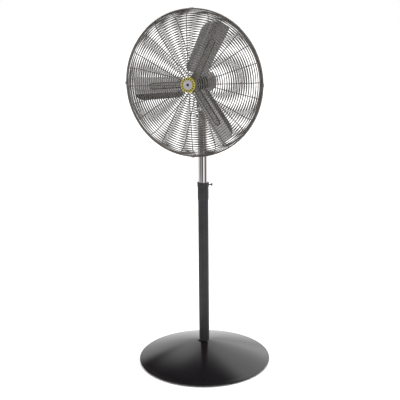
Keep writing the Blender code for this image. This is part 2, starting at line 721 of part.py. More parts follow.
def switch_box(mat):
    """The box behind the motor with its cover, switch, capacitor and cable gland, and its speed knob."""
    front = REAR_FACE_Y + GAP
    back = front + BOX_DEPTH
    box = block("switch_box", (-BOX_HALF_X, front, HEAD_Z - BOX_HALF_Z),
                (BOX_HALF_X, back, HEAD_Z + BOX_HALF_Z), mat["motor"])
    room_x = BOX_HALF_X - BOX_WALL
    room_z = BOX_HALF_Z - BOX_WALL
    room = block("switch_box_room", (-room_x, front + BOX_WALL, HEAD_Z - room_z),
                 (room_x, back + 0.01, HEAD_Z + room_z), mat["motor"])
    gland_y = front + BOX_DEPTH / 2
    bottom = HEAD_Z - BOX_HALF_Z
    gland_hole = rod("gland_hole", GLAND_SPIGOT_R + GAP, -0.01, 0.01, mat["motor"], at=(0, gland_y, bottom))
    cut(box, room, gland_hole)

    cover_in = back + GAP
    cover_out = cover_in + COVER_T
    cover = block("switch_cover", (-BOX_HALF_X, cover_in, HEAD_Z - BOX_HALF_Z),
                  (BOX_HALF_X, cover_out, HEAD_Z + BOX_HALF_Z), mat["motor"])
    switch_axis = (SWITCH_X, 0, HEAD_Z)
    cover_hole = rod("cover_hole", SWITCH_SHAFT_R + 0.0005, cover_in - 0.01, cover_out + 0.01,
                     mat["motor"], "Y", switch_axis)
    cut(cover, cover_hole)

    half = SWITCH_SIDE / 2
    switch_back = back - 0.001
    switch = block("speed_switch", (SWITCH_X - half, switch_back - SWITCH_DEPTH, HEAD_Z - half),
                   (SWITCH_X + half, switch_back, HEAD_Z + half), mat["plastic"])
    shaft_end = cover_out + 0.012
    spindle = rod("switch_spindle", SWITCH_SHAFT_R, switch_back - 0.005, shaft_end, mat["plastic"], "Y",
                  switch_axis)
    join(switch, spindle)

    middle_y = front + BOX_WALL + CAPACITOR_R + 0.004
    place = (CAPACITOR_X, middle_y, HEAD_Z)
    can = rod("run_capacitor", CAPACITOR_R, -CAPACITOR_LENGTH / 2, CAPACITOR_LENGTH / 2, mat["zinc"], at=place)

    profile = [
        (CABLE_R, 0.005),
        (GLAND_SPIGOT_R, 0.005),
        (GLAND_SPIGOT_R, -GAP),
        (GLAND_R, -GAP),
        (GLAND_R, -0.006),
        (GLAND_R - 0.0015, -GLAND_LENGTH),
        (CABLE_R, -GLAND_LENGTH),
    ]
    gland = turned("cable_gland", profile, mat["plastic"], at=(0, gland_y, bottom), sides=SMALL)

    knob_in = cover_out + GAP
    knob_out = knob_in + SPEED_KNOB_T
    knob_profile = [
        (0, knob_out),
        (SPEED_KNOB_R - 0.003, knob_out),
        (SPEED_KNOB_R - 0.001, knob_out - 0.002),
        (SPEED_KNOB_R, knob_in),
        (SWITCH_SHAFT_R + GAP, knob_in),
        (SWITCH_SHAFT_R + GAP, shaft_end + 0.001),
        (0, shaft_end + 0.001),
    ]
    knob = turned("speed_knob", knob_profile, mat["plastic"], "Y", switch_axis, 24)
    fixed = [box, room, gland_hole, cover, cover_hole, switch, spindle, can, gland]
    return fixed, [knob]


# ---------------------------------------------------------------- guard

def ring_radii(inner_rings):
    """Radii of a guard half's rings: its centre rings, then evenly out to the bend, then the rim."""
    start = inner_rings[-1]
    step = (BEND_R - start) / OPEN_RINGS
    open_rings = [start + step * k for k in range(1, OPEN_RINGS + 1)]
    return [*inner_rings, *open_rings]


def guard_half(name, inner_rings, centre_depth, bend_depth, forward, rib_phase, material):
    """One half of the guard as flat-sided bars: rings joined by ribs.

    Depth is measured from the rim's plane, and forward is -1 for the front half and +1 for the rear.
    """
    flat_to = inner_rings[-1]
    radii = ring_radii(inner_rings)
    stations = []
    for radius in radii:
        share = max(0.0, (radius - flat_to) / (BEND_R - flat_to))
        depth = centre_depth + (bend_depth - centre_depth) * share
        stations.append((radius, depth, RING_WIDTH, WIRE_T))
    stations.append((GUARD_R - RIM_WIDTH / 2, RIM_T / 2 + GAP, RIM_WIDTH, RIM_T))

    bm = bmesh.new()
    columns_per_rib = 1 + SPANS_PER_RIB
    columns = RIB_COUNT * columns_per_rib

    def column_angle(column, radius):
        """Ring points: two at each rib's sides, the rest spread evenly between ribs."""
        rib, step = divmod(column, columns_per_rib)
        half = RIB_WIDTH / 2 / radius
        sector = math.tau / RIB_COUNT
        middle = math.radians(rib_phase) + sector * rib
        if step == 0:
            return middle - half
        return middle + half + (sector - 2 * half) * (step - 1) / SPANS_PER_RIB

    def loop(radius, depth):
        return [
            bm.verts.new((radius * math.cos(column_angle(c, radius)), RIM_Y + forward * depth,
                          HEAD_Z + radius * math.sin(column_angle(c, radius))))
            for c in range(columns)
        ]

    rings = []
    for radius, depth, width, thick in stations:
        inner = radius - width / 2
        outer = radius + width / 2
        rings.append({
            "inner_front": loop(inner, depth + thick / 2),
            "outer_front": loop(outer, depth + thick / 2),
            "outer_back": loop(outer, depth - thick / 2),
            "inner_back": loop(inner, depth - thick / 2),
        })

    def strip(one, two, column):
        after = (column + 1) % columns
        bm.faces.new((one[column], one[after], two[after], two[column]))

    last = len(rings) - 1
    for index, bar in enumerate(rings):
        for column in range(columns):
            at_rib = column % columns_per_rib == 0
            strip(bar["inner_front"], bar["outer_front"], column)
            strip(bar["inner_back"], bar["outer_back"], column)
            if not (at_rib and index > 0):
                strip(bar["inner_front"], bar["inner_back"], column)
            if not (at_rib and index < last):
                strip(bar["outer_front"], bar["outer_back"], column)
    for near, far in zip(rings, rings[1:]):
        for column in range(0, columns, columns_per_rib):
            strip(near["outer_front"], far["inner_front"], column)
            strip(near["outer_back"], far["inner_back"], column)
            for side in (column, column + 1):
                bm.faces.new((near["outer_front"][side], far["inner_front"][side],
                              far["inner_back"][side], near["outer_back"][side]))
    return finish_mesh(name, bm, material)


def guards(mat):
    front = guard_half("front_guard", FRONT_INNER_RINGS, FRONT_CENTRE_DEPTH, FRONT_BEND_DEPTH, -1,
                       FRONT_RIB_PHASE, mat["wire"])
    rear = guard_half("rear_guard", REAR_INNER_RINGS, REAR_CENTRE_DEPTH, REAR_BEND_DEPTH, 1,
                      REAR_RIB_PHASE, mat["wire"])
    return [front, rear]


def guard_screws(mat):
    """Screws whose wide heads hold the rear guard's two centre rings on the motor."""
    pieces = []
    head_back = RIM_Y + REAR_CENTRE_DEPTH - WIRE_T / 2 - GAP
    for number, angle in enumerate(around(4), 1):
        place = on_head(GUARD_SCREW_PITCH_R, angle)
        name = f"guard_screw_{number}"
        screw = rod(name, GUARD_SCREW_HEAD_R, head_back - 0.003, head_back, mat["zinc"], "Y", place)
        shank = rod(f"{name}_shank", GUARD_SCREW_R, head_back - 0.001, FRONT_FACE_Y + 0.010, mat["zinc"],
                    "Y", place, 8)
        join(screw, shank)
        pieces += [screw, shank]
    return pieces


def guard_clips(mat):
    """C-shaped clips that close over both halves' rims."""
    reach_in = GUARD_R - RIM_WIDTH + 0.0005
    floor = GUARD_R + GAP
    roof = floor + CLIP_SHEET
    inside = RIM_T + 2 * GAP
    outside = inside + CLIP_SHEET
    outline = [
        (reach_in, -outside), (roof, -outside), (roof, outside), (reach_in, outside),
        (reach_in, inside), (floor, inside), (floor, -inside), (reach_in, -inside),
    ]
    pieces = []
    for number, angle in enumerate(around(CLIP_COUNT), 1):
        clip = extruded(f"guard_clip_{number}", outline, -CLIP_WIDTH / 2, CLIP_WIDTH / 2, mat["zinc"])
        clip.matrix_world = Matrix.Translation((0, RIM_Y, HEAD_Z)) @ Matrix.Rotation(-angle, 4, "Y")
        pieces.append(clip)
    return pieces


def badge(mat):
    plate_back = RIM_Y - FRONT_CENTRE_DEPTH - WIRE_T / 2 - GAP
    plate_front = plate_back - BADGE_T
    disc_back = plate_front - GAP
    plate = on_axis(rod, "badge_plate", BADGE_R, plate_front, plate_back, mat["yellow"], sides=FINE)
    disc = on_axis(rod, "badge_disc", BADGE_DISC_R, disc_back - BADGE_DISC_T, disc_back, mat["lilac"],
                   sides=ROUND)
    return [plate, disc]


# ---------------------------------------------------------------- propeller

def blade_frame(angle):
    """Local X runs out along a blade, Y along its chord towards the trailing edge, Z out of its front face."""
    chord_lean = Matrix.Rotation(math.radians(BLADE_PITCH), 4, "X")
    face_front = Matrix.Rotation(math.radians(90), 4, "X")
    spin = Matrix.Rotation(-angle, 4, "Y")
    return Matrix.Translation((0, HUB_Y, HEAD_Z)) @ spin @ face_front @ chord_lean


def corner_loss(past, corner):
    """How far a round corner draws an edge in, at this distance past its start."""
    length, depth = corner
    share = min(max(past / length, 0.0), 1.0)
    return depth * (1 - math.sqrt(1 - share * share))


def blade_edges(radius):
    share = (radius - BLADE_ROOT_R) / (BLADE_TIP_R - BLADE_ROOT_R)
    root_loss = corner_loss(BLADE_ROOT_R + ROOT_CORNER[0] - radius, ROOT_CORNER)
    leading = LEADING_ROOT + (LEADING_TIP - LEADING_ROOT) * share - root_loss
    trailing = TRAILING_ROOT + (TRAILING_TIP - TRAILING_ROOT) * share - root_loss
    leading -= corner_loss(radius - BLADE_TIP_R + LEADING_TIP_CORNER[0], LEADING_TIP_CORNER)
    trailing -= corner_loss(radius - BLADE_TIP_R + TRAILING_TIP_CORNER[0], TRAILING_TIP_CORNER)
    return -leading, trailing


def blade_rise(chord):
    """The trailing part bends forwards from the flat of the blade, in a soft crease."""
    past = chord - CREASE_CHORD
    if past >= CREASE_HALF:
        return CREASE_SLOPE * past
    return CREASE_SLOPE * max(past + CREASE_HALF, 0.0) ** 2 / (4 * CREASE_HALF)


def blade_radii():
    """Stations along the blade, closer together round its corners."""
    root_end = BLADE_ROOT_R + ROOT_CORNER[0]
    tip_start = BLADE_TIP_R - TRAILING_TIP_CORNER[0]
    quarter = [math.sin(math.pi / 2 * k / CORNER_STEPS) for k in range(1, CORNER_STEPS + 1)]
    root = [root_end - ROOT_CORNER[0] * q for q in reversed(quarter)]
    middle = [root_end + (tip_start - root_end) * k / (BLADE_STATIONS - 1) for k in range(BLADE_STATIONS)]
    tip = [tip_start + TRAILING_TIP_CORNER[0] * q for q in quarter]
    return root + middle + tip


def blade(number, angle, mat):
    bm = bmesh.new()
    sink = ARM_T / 2 + GAP + BLADE_T / 2
    layers = {}
    for layer, offset in (("front", BLADE_T / 2 - sink), ("back", -BLADE_T / 2 - sink)):
        rows = []
        for radius in blade_radii():
            leading, trailing = blade_edges(radius)
            chords = [leading + (trailing - leading) * k / CHORD_STEPS for k in range(CHORD_STEPS + 1)]
            rows.append([bm.verts.new((radius, c, blade_rise(c) + offset)) for c in chords])
        layers[layer] = rows
    front, back = layers["front"], layers["back"]
    last_row = len(front) - 1
    for rows in (front, back):
        for row in range(last_row):
            for k in range(CHORD_STEPS):
                bm.faces.new((rows[row][k], rows[row + 1][k], rows[row + 1][k + 1], rows[row][k + 1]))
    for row in range(last_row):
        for k in (0, CHORD_STEPS):
            bm.faces.new((front[row][k], front[row + 1][k], back[row + 1][k], back[row][k]))
    for k in range(CHORD_STEPS):
        for row in (0, last_row):
            bm.faces.new((front[row][k], front[row][k + 1], back[row][k + 1], back[row][k]))
    return finish_mesh(f"blade_{number}", bm, mat["aluminium"], blade_frame(angle))


def spider(mat):
    """The hub with three riveted arms, each pitched with its blade."""
    hub = on_axis(rod, "spider", HUB_R, HUB_FRONT_Y, HUB_REAR_Y, mat["zinc"], sides=24)
    tools = []
    half = ARM_WIDTH / 2
    end = ARM_END_R - half
    steps = 6
    arc = [math.pi / 2 - math.pi * k / steps for k in range(steps + 1)]
    outline = [(end + half * math.cos(a), half * math.sin(a)) for a in arc]
    outline += [(0.008, -half), (0.008, half)]
    for number, angle in enumerate(around(BLADE_COUNT, BLADE_ANGLE), 1):
        arm = extruded(f"spider_arm_{number}", outline, -ARM_T / 2, ARM_T / 2, mat["zinc"])
        arm.matrix_world = blade_frame(angle)
        join(hub, arm)
        tools.append(arm)
    bore = on_axis(rod, "spider_bore", SHAFT_R + GAP, HUB_FRONT_Y - 0.01, HUB_REAR_Y + 0.01, mat["zinc"])
    screw_turn = Matrix.Rotation(-math.radians(HUB_SCREW_ANGLE), 4, "Y") @ AXIS_TURN["X"]
    screw_y = HUB_REAR_Y - 0.008
    place = Matrix.Translation((0, screw_y, HEAD_Z)) @ screw_turn
    hole = rod("hub_screw_hole", HUB_SCREW_R + GAP, SHAFT_R / 2, HUB_R + 0.01, mat["zinc"])
    hole.matrix_world = place
    cut(hub, bore, hole)
    screw = rod("hub_screw", HUB_SCREW_R, SHAFT_R + GAP, HUB_R + 0.003, mat["black"])
    screw.matrix_world = place
    return [hub, screw, bore, hole] + tools


# ---------------------------------------------------------------- assembly

def build():
    clear_scene()
    mat = materials()
    base_cone(mat)
    base_socket(mat)
    base_fastening(mat)
    feet(mat)
    outer_post(mat)
    guide_bush(mat)
    clamp_collar(mat)
    clamp_parts(mat)

    blades = [blade(n, a, mat) for n, a in enumerate(around(BLADE_COUNT, BLADE_ANGLE), 1)]
    spin_axis = pivot_empty("spin_axis", (0, HUB_Y, HEAD_Z), spider(mat) + blades + motor_shaft(mat))
    box_parts, knob_parts = switch_box(mat)
    speed_axis = pivot_empty("speed_axis", (SWITCH_X, 0, HEAD_Z), knob_parts)
    head_parts = tilt_bracket(mat) + front_bell(mat) + rear_bell(mat) + motor_middle(mat)
    head_parts += through_bolts(mat) + box_parts + guards(mat) + guard_screws(mat) + guard_clips(mat)
    head_parts += badge(mat)
    tilt_axis = pivot_empty("tilt_axis", (0, 0, PIVOT_Z), head_parts + [spin_axis, speed_axis])

    bolt_parts, lock_parts = tilt_fastening(mat)
    lock_axis = pivot_empty("tilt_knob_axis", (0, 0, PIVOT_Z), lock_parts)
    pan_parts = [yoke(mat), lock_axis, tilt_axis] + bolt_parts
    pan_axis = pivot_empty("pan_axis", (0, 0, MAST_TOP_Z), pan_parts)
    screw_axis = pivot_empty("yoke_screw_axis", (0, 0, YOKE_SCREW_Z), yoke_screw(mat))
    pivot_empty("height_axis", (0, 0, COLLAR_TOP_Z), mast(mat) + [pan_axis, screw_axis])


build()
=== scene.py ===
"""Looks of the pedestal fan: fine pieces, materials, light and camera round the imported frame."""

import math

import bmesh
import bpy
from mathutils import Matrix, Vector

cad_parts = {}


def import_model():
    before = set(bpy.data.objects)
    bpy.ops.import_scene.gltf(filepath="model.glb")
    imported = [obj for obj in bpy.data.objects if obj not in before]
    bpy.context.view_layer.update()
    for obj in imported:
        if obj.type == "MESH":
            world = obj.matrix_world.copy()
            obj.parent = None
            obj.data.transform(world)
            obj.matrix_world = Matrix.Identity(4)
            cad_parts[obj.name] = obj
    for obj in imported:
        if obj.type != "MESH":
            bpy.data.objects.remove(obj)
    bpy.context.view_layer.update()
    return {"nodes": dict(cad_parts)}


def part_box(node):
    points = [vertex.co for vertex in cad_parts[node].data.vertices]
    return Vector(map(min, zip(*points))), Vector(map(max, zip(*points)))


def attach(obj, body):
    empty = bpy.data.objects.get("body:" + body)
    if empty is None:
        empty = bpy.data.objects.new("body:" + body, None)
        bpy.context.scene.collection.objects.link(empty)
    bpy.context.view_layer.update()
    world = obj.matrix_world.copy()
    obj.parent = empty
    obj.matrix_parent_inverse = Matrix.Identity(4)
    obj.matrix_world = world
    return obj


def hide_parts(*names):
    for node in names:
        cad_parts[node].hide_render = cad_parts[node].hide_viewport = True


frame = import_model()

X, Y, Z = 0, 1, 2


def span(node, axis):
    """Lowest and highest place of a CAD node along an axis."""
    low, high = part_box(node)
    return low[axis], high[axis]


def middle(node, axis):
    return sum(span(node, axis)) / 2


def reach(node, axis=X):
    """Half the width of a CAD node."""
    low, high = span(node, axis)
    return (high - low) / 2


# Camera: metres, degrees, and the lens of a 36 mm wide sensor
CAMERA_DISTANCE = 4.212
CAMERA_HEIGHT = 1.963
CAMERA_AZIMUTH = 21.26
CAMERA_DOWN = 13.084
CAMERA_YAW = -0.252
CAMERA_ROLL = -0.543
LENS = 67.15
SENSOR = 36.0

# Studio. A card or flag: its azimuth (0 in front, 90 on the +X side) and elevation, the angles from there
# at which it begins and has ceased to fade, and its brightness.
FLOOR_R = 2000.0
OVERHEAD_POWER = 3.2
OVERHEAD_SPREAD = 70.0
AMBIENT = 0.42
CARDS = (
    (181, 5, 40, 95, 1.0),
    (150, 38, 20, 48, 1.8),
    (240, 58, 28, 42, 0.02),
    (166, 34, 14, 36, 1.7),
    (197, 38, 17, 25, 1.4),
    (9, -24, 14, 34, 0.68),
    (-60, -8, 20, 45, 0.62),
    (-23, 29, 14, 28, 0.95),
    (-62, 62, 20, 36, 0.04),
    (-36, -8, 17, 28, 0.22),
    (-48, -27, 9, 20, 0.9),
    (-105, -27, 8, 20, 0.07),
    (0, 90, 28, 42, 0.04),
    (10, -3, 11, 15, 0.02),
    (43, -8, 9, 15, 1.2),
    (85, -8, 10, 16, 0.02),
    (112, -8, 6, 14, 0.9),
)

# Places read from the frame, in metres
HEAD_Z = middle("front_guard", Z)
RIM_Y = (span("front_guard", Y)[1] + span("rear_guard", Y)[0]) / 2
GUARD_R = reach("front_guard")
FRONT_FACE_Y = span("front_guard", Y)[0]
REAR_FACE_Y = span("rear_guard", Y)[1]
HUB_FRONT_Y, HUB_REAR_Y = span("spider", Y)[0], span("spider", Y)[1]
HUB_Y = (HUB_FRONT_Y + HUB_REAR_Y) / 2
MOTOR_R = reach("motor_shell")
MOTOR_FRONT_Y = span("front_bell", Y)[0]
MOTOR_REAR_Y = span("rear_bell", Y)[1]
TUBE_R = reach("outer_tube")
MAST_R = reach("inner_tube")
PIVOT_Z = middle("tilt_bolt", Z)

# Fits and broken edges
SLIP = 0.0003  # clearance of a part that slides on another
SMALL_ROUND = 0.0006
EDGE_ROUND = 0.0012

# Motor
MOTOR_WALL = 0.003
SHAFT_GAP = 0.0015
BELL_EDGE = 0.005  # chamfer of the end bells
BELL_ROUND = 0.002
BELL_GAP = 0.0004  # shadow line between a bell and the barrel
SEAT_OUT_R, SEAT_IN_R = 0.024, 0.0178  # the front bearing's seat
SEAT_DEPTH, SEAT_FLOOR = 0.018, 0.005
GROOVE_IN_R, GROOVE_OUT_R = 0.024, 0.0445  # the groove in the front face
GROOVE_SLANT, GROOVE_DEPTH = 0.0015, 0.0016
BEAD_INSET = 0.012  # from the barrel's end to its pressed bead
BEAD_HALF, BEAD_FLOOR, BEAD_DEPTH = 0.003, 0.0012, 0.0010
BEAD_ROUND = 0.0008

# Guard wires
RIM_WIRE_R = 0.0026
RIB_WIRE_R = 0.0023
RING_WIRE_R = 0.0025
RIM_DEPTH = RIM_WIRE_R + 0.0004  # from the joint between the halves to the middle of a rim wire
FRONT_CENTRE_WIRE_R = 0.0022
REAR_CENTRE_WIRE_R = 0.0020
WELD_SINK = 0.0004  # how far two welded wires sink into each other
RING_PITCH = 0.0129
RIB_COUNT = 12
FRONT_RIB_PHASE = 2.3  # degrees from +X to the first rib
REAR_RIB_PHASE = 18.0
BEND_R = 0.365
BEND_REACH = 0.026  # how far from the corner the bend begins
FRONT_BEND_RISE = 0.014  # the face of each half is this much deeper at its centre than at its bend
REAR_BEND_RISE = 0.019
FRONT_CENTRE_R = 0.038
REAR_CENTRE_R = 0.0440
REAR_FLAT_R = 0.062
REAR_FLAT_INSET = 0.0005  # of the wire that closes the flat part
RING_FINENESS = 26  # a ring has 12 sides for each 1/26 m of its radius

# Badge
DISC_BORDER, DISC_BORDER_SLANT, DISC_STEP = 0.002, 0.0006, 0.0004
BADGE_SCREW_R = 0.0075
SOCKET_TOP_R, SOCKET_FLOOR_R = 0.0035, 0.0031
TICK_COUNT = 16
TICK_IN_R, TICK_OUT_R = 0.0278, 0.0372
TICK_HALF, TICK_RISE = 0.0031, 0.0003

# Propeller
BLADE_ANGLES = (64.0, 184.0, 304.0)
BLADE_PITCH = 17.0
BLADE_ROOT_R = 0.055
BLADE_TIP_R = 0.360
BLADE_T = 0.002
BLADE_GAP = 0.0003  # between a blade and its spider arm
LEADING_ROOT, LEADING_TIP = 0.044, 0.057
TRAILING_ROOT, TRAILING_TIP = 0.071, 0.082
CREASE_CHORD = 0.041  # where the trailing part bends forwards
CREASE_HALF = 0.005  # half the width of the bend
CREASE_SLOPE = 0.36
LEADING_CORNER = (0.012, 0.012)  # how far a round corner reaches along the blade and along its chord
TRAILING_CORNER = (0.078, 0.088)
ROOT_CORNER = (0.024, 0.024)
ARM_WIDTH = 0.034
ARM_T = 0.003
ARM_END_R = 0.262
HUB_R = 0.023
ARM_EDGE_R = 0.0020  # of the rolled edge round each arm
RIVET_R, RIVET_SINK = 0.0042, 0.0016
RIVET_PLACES = (0.105, 0.175, 0.243)  # along an arm, from the fan's axis
RIVET_Y = 0.0115
HUB_NOSE_R, HUB_NOSE_FOOT_R = HUB_R * 0.72, HUB_R * 0.78
HUB_NOSE_LENGTH, HUB_SHOULDER = 0.006, 0.008

# Base
BASE_SHEET = 0.0023
BASE_CROWN = 0.005  # how far the spun cone swells halfway down
BASE_EDGE_R, BASE_EDGE_Z = 0.380, 0.0165
BASE_LIP_IN_R = 0.362
BASE_ROLL = 0.006  # how far the rolled edge reaches round its corners
BASE_BULGE, BASE_BULGE_Z = 0.0006, 0.0128  # of the edge past its lip
NECK_ROUND, NECK_RISE = 0.0012, 0.0008  # where the sheet meets the post
SLOPE_STEPS = 24
FOOT_DIMPLE_R, FOOT_DIMPLE_FLOOR_R, FOOT_DIMPLE = 0.004, 0.0035, 0.0022

# Post, collar and clamp screw
POST_WALL = 0.00205
MAST_WALL = 0.002
SLEEVE_TAPER, SLEEVE_FOOT = 0.008, 0.0008  # height of the lower taper, and the width left at its foot
COLLAR_LIP, COLLAR_GROOVE = 0.0065, 0.0078  # from the top to the end of the lip, and to the waist
COLLAR_WAIST = 0.0012
COLLAR_ROUND = 0.0013
SCREW_R, SCREW_TIP_R = 0.0040, 0.0034
SCREW_TIP = 0.0291  # from the post's axis to the screw's tip
SCREW_PLAIN = 0.001  # plain length at each end of the thread
SCREW_HEAD_R, SCREW_HEAD_HALF = 0.0058, 0.005
BAR_END = 0.7  # radius of the bar's end faces, as a share of the bar's

# Knobs: lobes or flutes round the edge, and their depth as a share of the radius
TILT_LOBES, TILT_LOBE_SWING = 5, 0.095
TILT_KNOB_NECK = 0.005  # length of the neck behind the lobed disc
SPEED_FLUTES, SPEED_FLUTE_SWING = 18, 0.025

# Switch cover
COVER_SCREW_INSET = 0.006
MARK_COUNT = 4
MARK_GAP, MARK_HALF = 0.0045, 0.0018  # from the knob to a mark's middle, and half its length

TURN = {
    "X": Matrix.Rotation(math.radians(90), 4, "Y"),
    "Y": Matrix.Rotation(math.radians(-90), 4, "X"),
    "Z": Matrix.Identity(4),
}


# ---------------------------------------------------------------- materials

def new_material(name):
    material = bpy.data.materials.new(name)
    material.use_nodes = True
    return material, material.node_tree.nodes, material.node_tree.links


def grain(nodes, links, scale, stretch=(1, 1, 1), detail=4.0):
    """Noise in the piece's own coordinates, scale features to the metre."""
    place = nodes.new("ShaderNodeTexCoord")
    mapping = nodes.new("ShaderNodeMapping")
    mapping.inputs["Scale"].default_value = [scale * s for s in stretch]
    noise = nodes.new("ShaderNodeTexNoise")
    noise.inputs["Scale"].default_value = 1.0
    noise.inputs["Detail"].default_value = detail
    links.new(place.outputs["Object"], mapping.inputs["Vector"])
    links.new(mapping.outputs["Vector"], noise.inputs["Vector"])
    return noise.outputs["Fac"]


def ramp(nodes, links, value, low, high, start=0.3, end=0.7):
    """A value stretched from start..end to low..high."""
    mapped = nodes.new("ShaderNodeMapRange")
    mapped.inputs["From Min"].default_value = start
    mapped.inputs["From Max"].default_value = end
    mapped.inputs["To Min"].default_value = low
    mapped.inputs["To Max"].default_value = high
    links.new(value, mapped.inputs["Value"])
    return mapped.outputs["Result"]


def blend(nodes, links, value, one, two, start=0.3, end=0.7):
    """A colour that goes from one to two as the value goes from start to end."""
    colours = nodes.new("ShaderNodeValToRGB")
    colours.color_ramp.elements[0].position = start
    colours.color_ramp.elements[0].color = (*one, 1)
    colours.color_ramp.elements[1].position = end
    colours.color_ramp.elements[1].color = (*two, 1)
    links.new(value, colours.inputs["Fac"])
    return colours.outputs["Color"]


def surface(name, one, two, rough, metallic=0.0, patch=18, stretch=(1, 1, 1), relief=900,
            relief_height=0.00003, relief_stretch=(1, 1, 1), coat=0.0, specular=0.5):
    """A finish of two close colours in soft patches, with uneven gloss and a fine relief.

    rough is the range of roughness, patch and relief are features to the metre.
    """
    material, nodes, links = new_material(name)
    shader = nodes["Principled BSDF"]
    shader.inputs["Metallic"].default_value = metallic
    shader.inputs["Coat Weight"].default_value = coat
    shader.inputs["Coat Roughness"].default_value = 0.25
    shader.inputs["Specular IOR Level"].default_value = specular
    broad = grain(nodes, links, patch, stretch)
    links.new(blend(nodes, links, broad, one, two), shader.inputs["Base Color"])
    fine = grain(nodes, links, relief, relief_stretch, 2.0)
    links.new(ramp(nodes, links, fine, *rough), shader.inputs["Roughness"])
    bump = nodes.new("ShaderNodeBump")
    bump.inputs["Strength"].default_value = 1.0
    bump.inputs["Distance"].default_value = relief_height
    links.new(fine, bump.inputs["Height"])
    links.new(bump.outputs["Normal"], shader.inputs["Normal"])
    return material


def finishes():
    """Every material of the fan, by the record's slot names."""
    lengthways = (1, 1, 0.02)
    along_blade = (0.03, 1, 1)
    return {
        "base_paint": surface("base_enamel", (0.005, 0.004, 0.0048), (0.008, 0.0066, 0.0078), (0.10, 0.17),
                              patch=7, relief=650, relief_height=0.00002, specular=0.6),
        "post_paint": surface("post_enamel", (0.028, 0.026, 0.029), (0.037, 0.034, 0.038), (0.34, 0.46),
                              patch=16, relief=800),
        "chrome": surface("chrome_plate", (0.72, 0.69, 0.69), (0.80, 0.78, 0.78), (0.04, 0.09), 1.0,
                          patch=12, stretch=lengthways, relief=300, relief_height=0.0000002,
                          relief_stretch=lengthways),
        "zinc": surface("zinc_plate", (0.44, 0.43, 0.40), (0.60, 0.59, 0.56), (0.28, 0.45), 1.0,
                        patch=120, relief=1400, relief_height=0.00002),
        "black_steel": surface("blackened_steel", (0.035, 0.034, 0.035), (0.060, 0.058, 0.058),
                               (0.32, 0.5), 0.6, patch=90, relief=1100),
        "guard_wire": surface("guard_plating", (0.23, 0.214, 0.20), (0.35, 0.326, 0.305), (0.28, 0.42), 0.9,
                              patch=35, relief=1500, relief_height=0.00002),
        "blade_aluminium": surface("mill_aluminium", (0.56, 0.55, 0.55), (0.66, 0.65, 0.65),
                                   (0.17, 0.27), 1.0, patch=60, stretch=along_blade, relief=700,
                                   relief_height=0.000008, relief_stretch=along_blade),
        "aluminium_can": surface("drawn_aluminium", (0.62, 0.62, 0.62), (0.72, 0.72, 0.72),
                                 (0.25, 0.38), 1.0, patch=60, stretch=lengthways, relief=900,
                                 relief_stretch=lengthways),
        "motor_paint": surface("motor_enamel", (0.085, 0.082, 0.084), (0.11, 0.106, 0.108),
                               (0.36, 0.52), patch=25, relief=420, relief_height=0.00012),
        "core_steel": surface("laminated_steel", (0.22, 0.21, 0.20), (0.34, 0.33, 0.32), (0.35, 0.5),
                              0.9, patch=40, relief=1600, relief_stretch=(0.05, 1, 0.05),
                              relief_height=0.00006),
        "black_plastic": surface("moulded_plastic", (0.020, 0.020, 0.021), (0.028, 0.028, 0.029),
                                 (0.42, 0.58), patch=45, relief=2200, relief_height=0.00003),
        "nylon": surface("natural_nylon", (0.62, 0.60, 0.54), (0.72, 0.70, 0.64), (0.38, 0.5),
                         patch=40, relief=1500),
        "rubber": surface("moulded_rubber", (0.018, 0.018, 0.018), (0.030, 0.029, 0.028), (0.7, 0.9),
                          patch=80, relief=2500, relief_height=0.00004, specular=0.3),
        "brass": surface("turned_brass", (0.60, 0.43, 0.18), (0.72, 0.54, 0.25), (0.2, 0.34), 1.0,
                         patch=80, relief=1800, relief_height=0.00001),
        "badge_yellow": surface("yellow_print", (0.42, 0.36, 0.03), (0.52, 0.45, 0.05), (0.3, 0.42),
                                patch=70, relief=1800, relief_height=0.00001, coat=0.4),
        "badge_pale": surface("pale_print", (0.34, 0.31, 0.37), (0.43, 0.40, 0.46), (0.3, 0.42),
                              patch=70, relief=1800, relief_height=0.00001, coat=0.4),
    }


FINISH = finishes()


# ---------------------------------------------------------------- building blocks

def piece(name, bm, body, slot, place=None, replaces=(), sharp=35):
    """Turns a bmesh into a finished piece that rides on a CAD body."""
    bmesh.ops.recalc_face_normals(bm, faces=bm.faces)
    mesh = bpy.data.meshes.new(name)
    bm.to_mesh(mesh)
    bm.free()
    mesh.shade_smooth()
    mesh.set_sharp_from_angle(angle=math.radians(sharp))
    mesh.materials.append(FINISH[slot])
    made = bpy.data.objects.new(name, mesh)
    if place is not None:
        made.matrix_world = place
    bpy.context.scene.collection.objects.link(made)
    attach(made, body)
    if replaces:
        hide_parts(*replaces)
    return made


def along(axis, at=(0, 0, 0)):
    """Lays a piece made along Z on an axis through a point."""
    return Matrix.Translation(at) @ TURN[axis]


def eased(points, radius, steps=4, closed=True):
    """The outline with each corner drawn as a small curve. Points at x 0 stay sharp."""
    result = []
    count = len(points)
    for k, point in enumerate(points):
        corner = Vector(point)
        at_end = not closed and k in (0, count - 1)
        if at_end or abs(corner[0]) < 1e-6:
            result.append(tuple(corner))
            continue
        before = Vector(points[k - 1]) - corner
        after = Vector(points[(k + 1) % count]) - corner
        draw = min(radius, before.length * 0.48, after.length * 0.48)
        start = corner + before.normalized() * draw
        end = corner + after.normalized() * draw
        for step in range(steps + 1):
            t = step / steps
            result.append(tuple(start * (1 - t) ** 2 + corner * 2 * t * (1 - t) + end * t ** 2))
    return result


